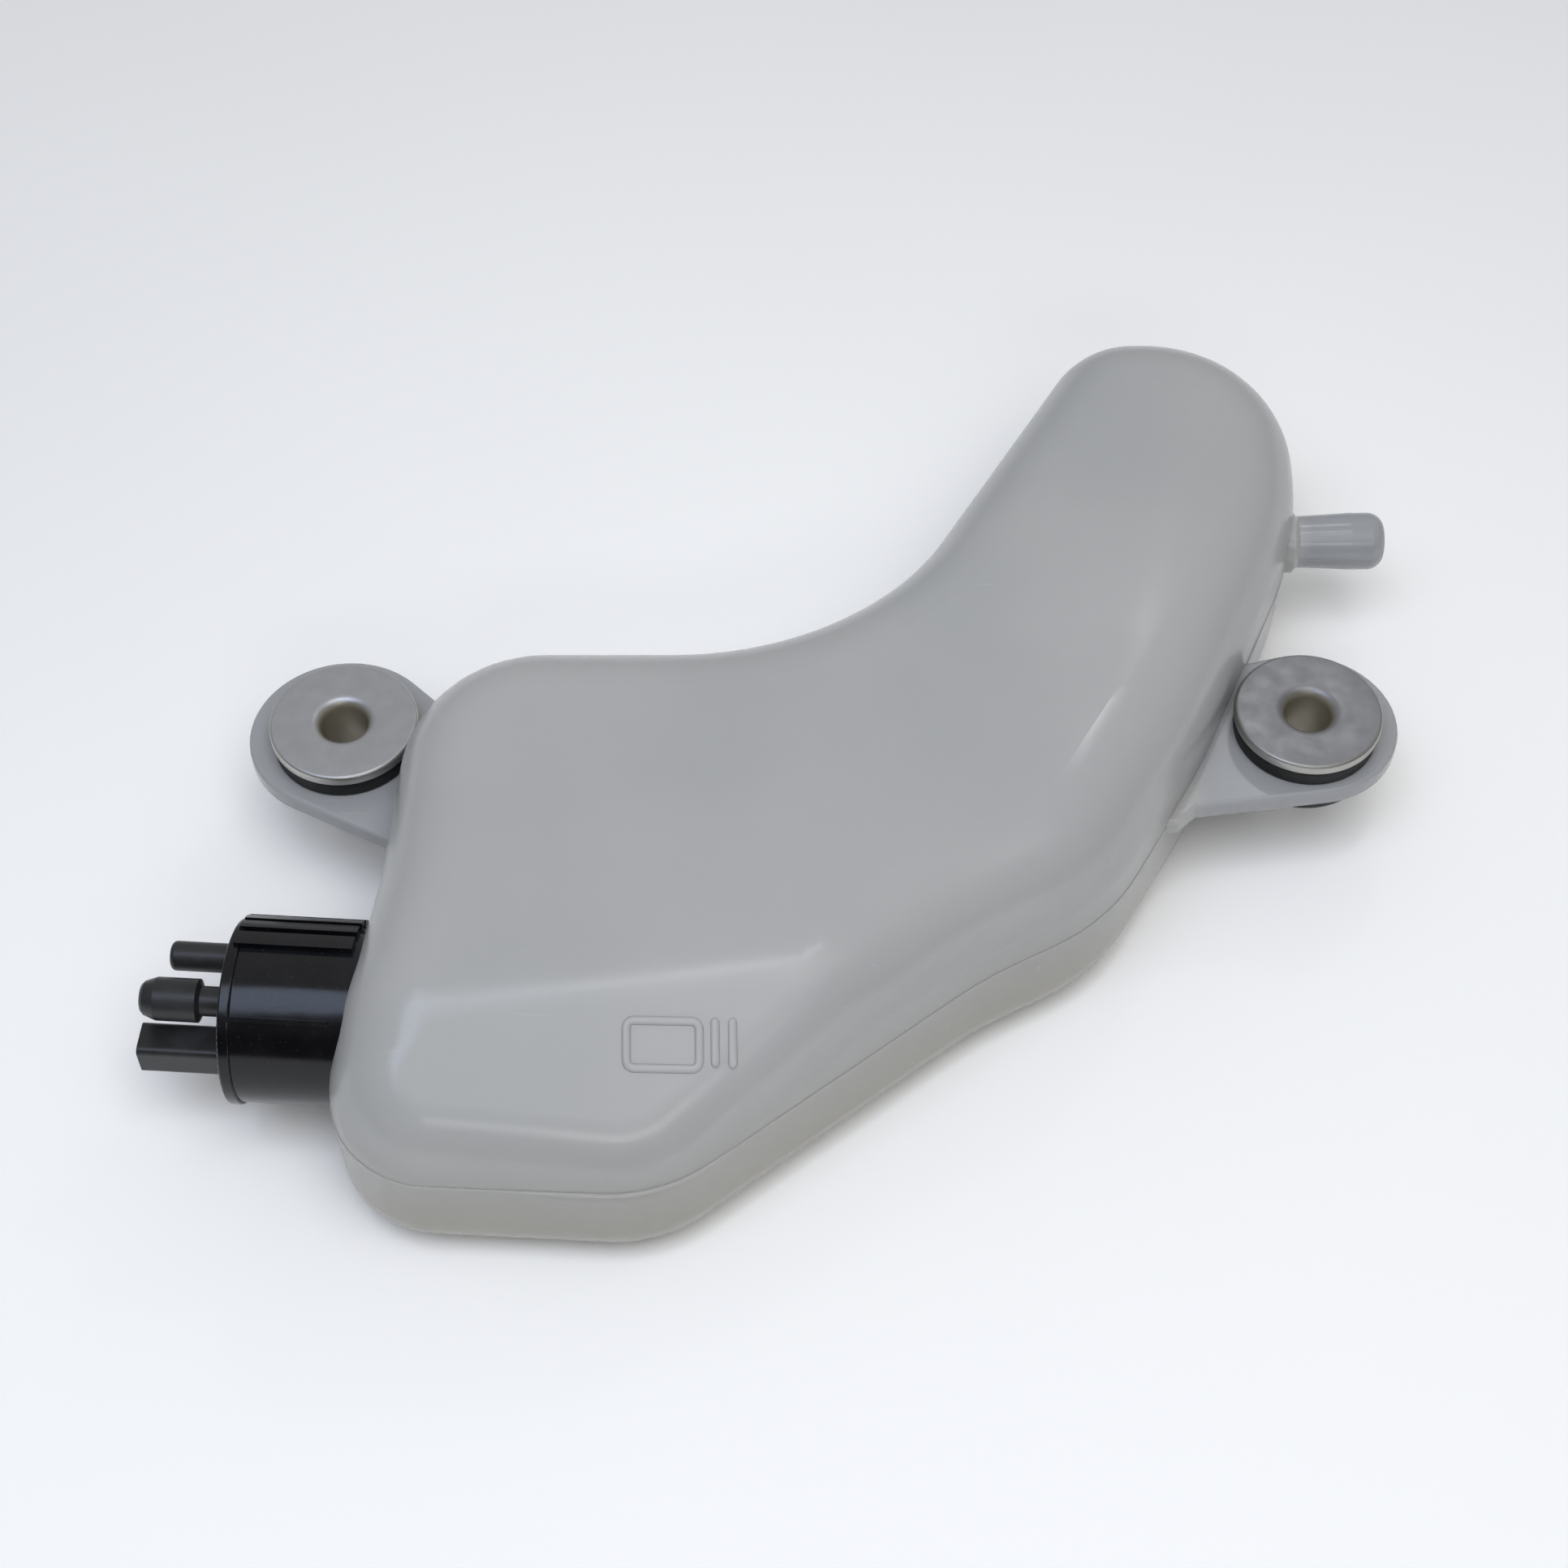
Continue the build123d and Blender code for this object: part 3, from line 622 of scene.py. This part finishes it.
def grid_piece(
    name: str, points: np.ndarray, body: Body, round_u: bool = True, round_v: bool = True
) -> bpy.types.Object:
    """Make a mesh object from a grid of points.

    Neighbouring points along both parameters span one quad. An open end along the first parameter
    is closed by one flat face.

    Args:
        name: the piece's name.
        points: array (rows, columns, 3) in metres.
        body: the body that it rides on.
        round_u: join the last row to the first.
        round_v: join the last column to the first.

    Returns:
        The object, smooth shaded, at the origin.
    """
    rows, cols = points.shape[:2]
    r = np.arange(rows if round_u else rows - 1)
    c = np.arange(cols if round_v else cols - 1)
    rr, cc = (a.ravel() for a in np.meshgrid(r, c, indexing="ij"))
    r2, c2 = (rr + 1) % rows, (cc + 1) % cols
    quads = np.stack([rr * cols + cc, r2 * cols + cc, r2 * cols + c2, rr * cols + c2], axis=1).tolist()
    if not round_u and round_v:
        quads.append(list(range(cols)))
        quads.append(list(range((rows - 1) * cols, rows * cols))[::-1])
    mesh = bpy.data.meshes.new(name)
    mesh.from_pydata(points.reshape(-1, 3).tolist(), [], quads)
    mesh.validate()
    mesh.shade_smooth()
    obj = bpy.data.objects.new(name, mesh)
    bpy.context.scene.collection.objects.link(obj)
    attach(obj, body.value)
    LOG.info("%s built, %d faces", name, len(quads))
    return obj


def rounded_loop(corners: np.ndarray, radii: np.ndarray, steps: int = 7) -> np.ndarray:
    """Round the corners of a closed profile.

    At each corner with inward directions p and q towards its neighbours, the arc of radius r starts
    r / tan(half angle) along p, ends as far along q, and is swept about the centre that lies
    r / sin(half angle) along the bisector.

    Args:
        corners: array (n, 2) of radius and height, counter-clockwise.
        radii: array (n,) of corner radii.
        steps: points on each arc.

    Returns:
        Array (n * steps, 2).
    """
    p = np.roll(corners, 1, axis=0) - corners
    q = np.roll(corners, -1, axis=0) - corners
    p /= np.linalg.norm(p, axis=1, keepdims=True)
    q /= np.linalg.norm(q, axis=1, keepdims=True)
    half = np.arccos(np.clip((p * q).sum(axis=1), -1.0, 1.0))[:, None] / 2.0
    middle = p + q
    middle /= np.linalg.norm(middle, axis=1, keepdims=True)
    r = radii[:, None]
    centre = corners + middle * r / np.sin(half)
    first = corners + p * r / np.tan(half) - centre
    last = corners + q * r / np.tan(half) - centre
    a0 = np.arctan2(first[:, 1], first[:, 0])
    turn = (np.arctan2(last[:, 1], last[:, 0]) - a0 + math.pi) % (2.0 * math.pi) - math.pi
    a = a0[:, None] + turn[:, None] * np.linspace(0.0, 1.0, steps)[None, :]
    arc = centre[:, None, :] + r[:, None] * np.stack([np.cos(a), np.sin(a)], axis=-1)
    return arc.reshape(-1, 2)


def lathe(profile: np.ndarray, centre: tuple[float, float], turns: int = 120) -> np.ndarray:
    """Turn a closed profile about an upright axis.

    The point is (x0 + r cos a, y0 + r sin a, z), with r and z from the profile and a going once
    round.

    Args:
        profile: array (n, 2) of radius and height in millimetres, counter-clockwise.
        centre: X and Y of the axis in millimetres.
        turns: steps round the axis.

    Returns:
        Grid of points in metres.
    """
    a = np.linspace(0.0, 2.0 * math.pi, turns, endpoint=False)[:, None]
    r, z = profile[None, :, 0], profile[None, :, 1]
    return np.stack([centre[0] + r * np.cos(a), centre[1] + r * np.sin(a), z + 0.0 * a], axis=-1) * MM


def raised_bead(
    path: np.ndarray, normal: np.ndarray, width: float, height: float, closed: bool
) -> np.ndarray:
    """Carry a half-sunk oval bead along a path.

    The point is path + width / 2 cos a * side + height sin a * normal, with side at right angles to
    the path and the normal. The ends of an open bead shrink over their last three steps.

    Args:
        path: array (n, 3) in millimetres.
        normal: array (3,), the way the bead stands up.
        width: full width in millimetres.
        height: height in millimetres.
        closed: whether the path is a loop.

    Returns:
        Grid of points in metres.
    """
    run = np.roll(path, -1, axis=0) - np.roll(path, 1, axis=0) if closed else np.gradient(path, axis=0)
    run /= np.linalg.norm(run, axis=1, keepdims=True)
    up = np.broadcast_to(normal, path.shape)
    up = up - (up * run).sum(axis=1, keepdims=True) * run
    up = up / np.linalg.norm(up, axis=1, keepdims=True)
    side = np.cross(up, run)
    a = np.linspace(0.0, 2.0 * math.pi, 12, endpoint=False)[None, :, None]
    ends = np.minimum(np.arange(len(path)), np.arange(len(path))[::-1]) / 3.0
    size = np.ones(len(path)) if closed else np.sqrt(1.0 - (1.0 - np.clip(ends, 0.04, 1.0)) ** 2)
    ring = width / 2.0 * np.cos(a) * side[:, None] + height * np.sin(a) * up[:, None]
    return (path[:, None] + size[:, None, None] * ring) * MM


@dataclass
class FrontFace:
    """The tank's front face, as the mould has it, in millimetres.

    Attributes:
        height: flat front face above the back.
        start: plan point on the line where the lower left slope begins.
        along: direction of that line.
        blend: radius of the bend there.
        angle: steepness of the slope in degrees.
    """

    height: float = 36.0
    start: tuple[float, float] = (-48.4, -34.4)
    along: tuple[float, float] = (44.1, 4.5)
    blend: float = 16.0
    angle: float = 30.0

    def at(self, x: np.ndarray, y: np.ndarray) -> np.ndarray:
        """Find the points of the slope above plan positions.

        With d the distance past the line, the face falls by r - sqrt(r^2 - d^2) on the bend and
        along a straight slope after it.

        Args:
            x: plan X.
            y: plan Y.

        Returns:
            Array (n, 3).
        """
        a = math.radians(self.angle)
        dx, dy = self.along
        d = ((x - self.start[0]) * dy - (y - self.start[1]) * dx) / math.hypot(dx, dy)
        end = self.blend * math.sin(a)
        arc = self.blend - np.sqrt(self.blend**2 - np.clip(d, 0.0, end) ** 2)
        line = self.blend * (1.0 - math.cos(a)) + (d - end) * math.tan(a)
        return np.stack([x, y, self.height - np.where(d < end, arc, line)], axis=-1)

    def up(self) -> np.ndarray:
        """Return the outward normal of the slope."""
        a = math.radians(self.angle)
        dx, dy = self.along
        level = np.array([dy, -dx]) / math.hypot(dx, dy) * math.sin(a)
        return np.array([level[0], level[1], math.cos(a)])


@dataclass
class TankShell:
    """The hollow polyethylene tank and its fine moulded marks, in millimetres.

    Attributes:
        frame_centre: plan centre of the bare moulded frame on the slope.
        frame_size: its width and its height down the slope.
        frame_corner: corner radius of the frame.
        bar_x: plan X of the two upright bars beside it.
        bar_y: plan Y of their lower and upper ends.
        bead: width and height of the raised lines.
        nipple_at: Y and Z of the hose nipple.
        nipple_line: X and radius along the nipple's mould line.
        nipple_bead: width and height of that line.
        nipple_sink: how far it starts below the skin.
        face: the front face that carries the marks.
    """

    frame_centre: tuple[float, float] = (-22.2, -45.1)
    frame_size: tuple[float, float] = (9.2, 5.2)
    frame_corner: float = 0.9
    bar_x: tuple[float, float] = (-15.6, -13.4)
    bar_y: tuple[float, float] = (-47.5, -42.0)
    bead: tuple[float, float] = (1.15, 0.28)
    nipple_at: tuple[float, float] = (52.1, 18.0)
    nipple_line: tuple[tuple[float, ...], tuple[float, ...]] = (
        (73.2, 80.18, 83.41, 84.9),
        (3.92, 4.3, 4.3, 3.6),
    )
    nipple_bead: tuple[float, float] = (0.3, 0.08)
    nipple_sink: float = 0.02
    face: FrontFace = field(default_factory=FrontFace)

    def build(self, shelf: Shelf, nodes: dict[str, bpy.types.Object]) -> None:
        """Dress the shell and add its marks.

        Args:
            shelf: the finishes.
            nodes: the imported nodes.
        """
        shelf.dress(nodes["tank_shell"], "tank")
        for piece in (self.frame(), *self.bars(), *self.nipple_lines()):
            shelf.dress(piece, "tank")

    def frame(self) -> bpy.types.Object:
        """Build the bare rounded frame that the mould leaves on the slope.

        The loop is a rectangle whose corners are rounded, laid out in plan and lifted on to the
        slope.

        Returns:
            The piece.
        """
        w, h = (size / 2.0 for size in self.frame_size)
        corners = np.array([[-w, -h], [w, -h], [w, h], [-w, h]]) + self.frame_centre
        loop = rounded_loop(corners, np.full(4, self.frame_corner))
        ring = np.concatenate([loop, loop[:1]])
        far = np.concatenate([[0.0], np.cumsum(np.linalg.norm(np.diff(ring, axis=0), axis=1))])
        even = np.linspace(0.0, far[-1], 150, endpoint=False)
        x, y = np.interp(even, far, ring[:, 0]), np.interp(even, far, ring[:, 1])
        grid = raised_bead(self.face.at(x, y), self.face.up(), *self.bead, closed=True)
        return grid_piece("moulded_frame", grid, Body.TANK)

    def bars(self) -> list[bpy.types.Object]:
        """Build the two plain upright bars beside the frame, straight in plan."""
        made = []
        for number, bar_x in enumerate(self.bar_x, start=1):
            y = np.linspace(*self.bar_y, 30)
            points = self.face.at(np.full_like(y, bar_x), y)
            grid = raised_bead(points, self.face.up(), *self.bead, closed=False)
            made.append(grid_piece(f"moulded_bar_{number}", grid, Body.TANK, round_u=False))
        return made

    def nipple_lines(self) -> list[bpy.types.Object]:
        """Build the thin mould lines on both sides of the hose nipple.

        Each line runs along the nipple at the radius of its skin there.

        Returns:
            The two pieces.
        """
        y0, z0 = self.nipple_at
        made = []
        for word, side in (("low", -1.0), ("high", 1.0)):
            x = np.linspace(self.nipple_line[0][0], self.nipple_line[0][-1], 60)
            r = np.interp(x, *self.nipple_line) - self.nipple_sink
            path = np.stack([x, y0 + side * r, np.full_like(x, z0)], axis=1)
            grid = raised_bead(path, np.array([0.0, side, 0.0]), *self.nipple_bead, closed=False)
            made.append(grid_piece(f"nipple_line_{word}", grid, Body.TANK, round_u=False))
        return made


@dataclass
class EarMount:
    """Rubber grommet and flanged collar of one ear, in millimetres.

    Attributes:
        side: which ear.
        spread: distance of the hole from the middle.
        along: Y of the hole.
        parting: height of the ear's middle plane.
        plate: ear thickness.
        hole_r: radius of the ear's hole.
        lip_r: radius of the rubber lips.
        lip_t: thickness of each lip.
        tube_r: outer radius of the collar's tube.
        bore_r: its bore.
        mouth_r: radius of the rounded mouth.
        flange_r: radius of the collar's flange.
        flange_t: its thickness.
        play: hair gap that keeps rubber, plate and flange apart.
        lip_round: roundings of the lips' outer and inner corners.
        collar_round: roundings of the tube's ends, of its corner under the flange, and of the
            flange's lower and upper edge.
    """

    side: Side
    spread: float = 68.4
    along: float = 14.0
    parting: float = 18.0
    plate: float = 3.0
    hole_r: float = 6.7
    lip_r: float = 10.2
    lip_t: float = 2.9
    tube_r: float = 4.6
    bore_r: float = 3.3
    mouth_r: float = 1.5
    flange_r: float = 10.5
    flange_t: float = 1.6
    play: float = 0.02
    lip_round: tuple[float, float] = (1.1, 0.45)
    collar_round: tuple[float, float, float, float] = (0.25, 0.1, 0.15, 0.55)

    def build(self, shelf: Shelf, nodes: dict[str, bpy.types.Object]) -> None:
        """Make the grommet and the collar and dress them.

        Args:
            shelf: the finishes.
            nodes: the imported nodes.
        """
        word = self.side.name.lower()
        shelf.dress(nodes[f"{word}_collar"], f"collar_{word}")
        shelf.dress(nodes[f"{word}_grommet"], "grommet_rubber")
        shelf.dress(self.grommet(word), "grommet_rubber")
        shelf.dress(self.collar(word), f"collar_{word}")

    def grommet(self, word: str) -> bpy.types.Object:
        """Turn the grommet: two soft lips with a waist that fills the ear's hole.

        Args:
            word: left or right.

        Returns:
            The piece, which stands for the plain grommet.
        """
        half = self.plate / 2.0
        low, top = self.parting - half - self.lip_t, self.parting + half + self.lip_t - self.play
        under, over = self.parting - half - self.play, self.parting + half + self.play
        corners = np.array([
            [self.tube_r, low], [self.lip_r, low], [self.lip_r, under], [self.hole_r, under],
            [self.hole_r, over], [self.lip_r, over], [self.lip_r, top], [self.tube_r, top],
        ])
        outer, inner = self.lip_round
        sharp, waist = 0.02, 0.05
        radii = np.array([sharp, outer, inner, waist, waist, inner, outer, sharp])
        grid = lathe(rounded_loop(corners, radii), (self.side.value * self.spread, self.along))
        piece = grid_piece(f"{word}_grommet_soft", grid, Body.TANK)
        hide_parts(f"{word}_grommet")
        return piece

    def collar(self, word: str) -> bpy.types.Object:
        """Turn the collar: a tube under a flat flange with a die-rolled edge and a rounded mouth.

        Args:
            word: left or right.

        Returns:
            The piece, which stands for the plain collar.
        """
        low = self.parting - self.plate / 2.0 - self.lip_t
        seat = self.parting + self.plate / 2.0 + self.lip_t
        top = seat + self.flange_t
        corners = np.array([
            [self.bore_r, low], [self.tube_r, low], [self.tube_r, seat], [self.flange_r, seat],
            [self.flange_r, top], [self.bore_r, top],
        ])
        end, corner, lower, upper = self.collar_round
        radii = np.array([end, end, corner, lower, upper, self.mouth_r])
        grid = lathe(rounded_loop(corners, radii, 9), (self.side.value * self.spread, self.along))
        piece = grid_piece(f"{word}_collar_turned", grid, Body.TANK)
        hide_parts(f"{word}_collar")
        return piece


@dataclass
class ValveSpring:
    """Coil spring of the outlet's check valve, which shortens as the valve lifts, in millimetres.

    Attributes:
        along: direction of the pump's axis, outwards.
        across: direction square to it and level.
        fixed_end: the middle of the end that rests under the nozzle.
        length: its length with the valve shut.
        coil_r: radius of the coil's middle line.
        wire_r: radius of the wire.
        turns: number of turns.
        steps: points on each turn of the coil, and round the wire.
        pressed: share of its length that is left when the valve is open; not used.
    """

    along: tuple[float, float, float] = (-0.99691733, 0.0784591, 0.0)
    across: tuple[float, float, float] = (0.0784591, 0.99691733, 0.0)
    fixed_end: tuple[float, float, float] = (-77.821, -32.405, 22.2)
    length: float = 2.70
    coil_r: float = 1.6
    wire_r: float = 0.12
    turns: int = 4
    steps: tuple[int, int] = (36, 10)
    pressed: float = 0.54

    def build(self, shelf: Shelf) -> None:
        """Wind the spring.

        The middle line is a helix: its angle and its place along the axis grow evenly. The wire is
        a small circle in the plane square to that line.

        Args:
            shelf: the finishes.
        """
        along, across = np.array(self.along), np.array(self.across)
        up = np.array([0.0, 0.0, 1.0])
        share = np.linspace(0.0, 1.0, self.steps[0] * self.turns + 1)[:, None]
        angle = math.pi * (1.0 + 2.0 * self.turns * share)
        outward = np.cos(angle) * across + np.sin(angle) * up
        rise = self.length - 2.0 * self.wire_r
        axis = np.array(self.fixed_end) - along * (self.wire_r + rise * (1.0 - share))
        middle = axis + self.coil_r * outward
        run = np.gradient(middle, axis=0)
        run /= np.linalg.norm(run, axis=1, keepdims=True)
        beside = np.cross(run, outward)
        turn = np.linspace(0.0, 2.0 * math.pi, self.steps[1], endpoint=False)[None, :, None]
        ring = np.cos(turn) * outward[:, None] - np.sin(turn) * beside[:, None]
        grid = middle[:, None] + self.wire_r * ring
        piece = grid_piece("valve_spring_wound", grid * MM, Body.TANK, round_u=False)
        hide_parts("valve_spring")
        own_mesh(piece)
        shelf.dress(piece, "spring_steel")


@dataclass
class PumpModule:
    """The pump module: the parts seen outside and the works inside.

    Attributes:
        finishes: the nodes that each finish goes on.
    """

    finishes: dict[str, tuple[str, ...]] = field(default_factory=lambda: {
        "black_plastic": ("pump_housing",),
        "cover_plastic": ("pump_end_cover",),
        "brass": ("terminal_feed", "terminal_ground", "brush_leaf_front", "brush_leaf_back",
                  "brush_strap"),
        "seal_rubber": ("port_seal", "cover_seal"),
        "inner_plastic": ("valve_seat", "valve_plunger", "brush_plate", "chamber_plate", "impeller",
                          "inlet_strainer"),
        "spring_steel": ("valve_spring",),
        "can_steel": ("motor_can",),
        "magnet": ("magnet_front", "magnet_back"),
        "core": ("armature_stack",),
        "copper": ("armature_winding", "commutator"),
        "shaft_steel": ("motor_shaft",),
        "carbon": ("brush_front", "brush_back"),
        "bronze": ("bearing_outer", "bearing_inner"),
    })

    def build(self, shelf: Shelf, nodes: dict[str, bpy.types.Object]) -> None:
        """Dress every node of the module.

        Args:
            shelf: the finishes.
            nodes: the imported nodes.
        """
        for finish, names in self.finishes.items():
            for name in names:
                shelf.dress(nodes[name], finish)


@dataclass(frozen=True)
class Lamp:
    """One soft rectangular light aimed at the tank, in metres and watts.

    Attributes:
        name: its name.
        place: where it hangs.
        width: its width.
        depth: its depth.
        power: its strength.
        colour: sRGB hex of its light.
        mirrored: whether glossy surfaces show it.
    """

    name: str
    place: tuple[float, float, float]
    width: float
    depth: float
    power: float
    colour: str = "ffffff"
    mirrored: bool = True

    def hang(self) -> None:
        """Hang the light so that it faces the tank."""
        data = bpy.data.lights.new(self.name, "AREA")
        data.shape = "RECTANGLE"
        data.size, data.size_y = self.width, self.depth
        data.energy = self.power
        data.color = linear(self.colour)[:3]
        obj = bpy.data.objects.new(self.name, data)
        obj.location = self.place
        obj.visible_glossy = self.mirrored
        x, y, z = self.place
        obj.rotation_euler = (math.atan2(math.hypot(x, y), z), 0.0, math.atan2(x, -y))
        bpy.context.scene.collection.objects.link(obj)
        LOG.info("%s hung", self.name)


@dataclass
class Studio:
    """Pale floor, soft lights and the camera.

    Attributes:
        focus: the point that the camera looks at, in metres.
        distance: camera distance in metres.
        elevation: camera elevation in degrees.
        turn: camera azimuth in degrees.
        lens: focal length in millimetres on a 36 mm sensor.
        room: strength of the room's light, high and far behind the tank.
        room_dark: its strength low on the near side, where nothing is lit.
        room_way: direction of the brightest part of the room.
        room_span: how far along that direction the light starts and is full.
        floor_half: half the floor's width in metres.
        floor_drop: how far it lies below the tank's back, in metres.
        lamps: the soft lights.
    """

    focus: tuple[float, float, float] = (-0.00619, 0.00637, 0.018)
    distance: float = 0.380
    elevation: float = 52.0
    turn: float = 0.811
    lens: float = 61.6
    room: float = 0.5
    room_dark: float = 0.06
    room_way: tuple[float, float, float] = (0.0, 0.6, 0.8)
    room_span: tuple[float, float] = (-0.2, 0.9)
    floor_half: float = 3.0
    floor_drop: float = 0.0003
    lamps: tuple[Lamp, ...] = (
        Lamp("key_light", (0.03, -0.26, 0.62), 0.40, 0.40, 1.85, mirrored=False),
        Lamp("panel_light", (0.19, -0.306, 0.745), 0.62, 0.34, 0.50),
        Lamp("panel_light_left", (-0.275, -0.250, 0.745), 0.29, 0.40, 1.1, "cfe0ff"),
        Lamp("strip_light_high", (0.075, -0.070, 0.830), 0.35, 0.06, 0.38),
        Lamp("strip_light_low", (0.075, -0.637, 0.509), 0.40, 0.09, 0.50),
        Lamp("small_light_behind", (0.107, 0.212, 0.304), 0.02, 0.02, 0.030),
    )

    def build(self, shelf: Shelf) -> None:
        """Lay the floor, light the room and place the camera."""
        self.floor(shelf)
        self.light_room()
        for lamp in self.lamps:
            lamp.hang()
        self.camera()
        view = bpy.context.scene.view_settings
        view.view_transform = "Standard"
        view.look = "None"
        view.exposure = 0.0
        view.gamma = 1.0
        LOG.info("studio ready")

    def floor(self, shelf: Shelf) -> None:
        """Lay a wide matt sheet under the tank: one flat grid just below the back face."""
        side = np.linspace(-self.floor_half, self.floor_half, 5)
        x, y = np.meshgrid(side, side, indexing="ij")
        points = np.stack([x, y, np.full_like(x, -self.floor_drop)], axis=-1)
        r, c = (a.ravel() for a in np.meshgrid(np.arange(4), np.arange(4), indexing="ij"))
        quads = np.stack([r * 5 + c, (r + 1) * 5 + c, (r + 1) * 5 + c + 1, r * 5 + c + 1], axis=1)
        mesh = bpy.data.meshes.new("floor")
        mesh.from_pydata(points.reshape(-1, 3).tolist(), [], quads.tolist())
        obj = bpy.data.objects.new("floor", mesh)
        bpy.context.scene.collection.objects.link(obj)
        shelf.dress(obj, "floor")

    def light_room(self) -> None:
        """Give the room a pale light that comes from above and behind and fades to the near side."""
        world = bpy.data.worlds.new("room")
        world.use_nodes = True
        tree = world.node_tree
        tree.nodes.clear()
        way = put(tree, "NewGeometry", {}, 0)
        toward = put(tree, "VectorMath", {0: way, 1: self.room_way}, 1, operation="DOT_PRODUCT")
        bright = put(tree, "MapRange", {0: toward, 1: self.room_span[0], 2: self.room_span[1],
                                        3: self.room_dark, 4: self.room})
        glow = put(tree, "Background", {"Color": linear("f7f8f9"), "Strength": bright})
        put(tree, "OutputWorld", {"Surface": glow})
        bpy.context.scene.world = world

    def camera(self) -> None:
        """Place the camera where the photograph was taken from."""
        data = bpy.data.cameras.new("camera")
        data.sensor_fit = "HORIZONTAL"
        data.sensor_width = 36.0
        data.lens = self.lens
        data.clip_start = 0.01
        obj = bpy.data.objects.new("camera", data)
        e, a = math.radians(self.elevation), math.radians(self.turn)
        back = (-math.cos(e) * math.sin(a), -math.cos(e) * math.cos(a), math.sin(e))
        obj.location = tuple(f + self.distance * b for f, b in zip(self.focus, back))
        obj.rotation_euler = (math.pi / 2.0 - e, 0.0, -a)
        bpy.context.scene.collection.objects.link(obj)
        bpy.context.scene.camera = obj


def main() -> None:
    """Build the whole scene in order."""
    logging.basicConfig(level=logging.INFO, format="%(name)s: %(message)s")
    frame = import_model()
    nodes = frame["nodes"]
    shelf = Shelf()
    TankShell().build(shelf, nodes)
    for side in Side:
        EarMount(side).build(shelf, nodes)
    PumpModule().build(shelf, nodes)
    ValveSpring().build(shelf)
    Studio().build(shelf)


if __name__ == "__main__":
    main()
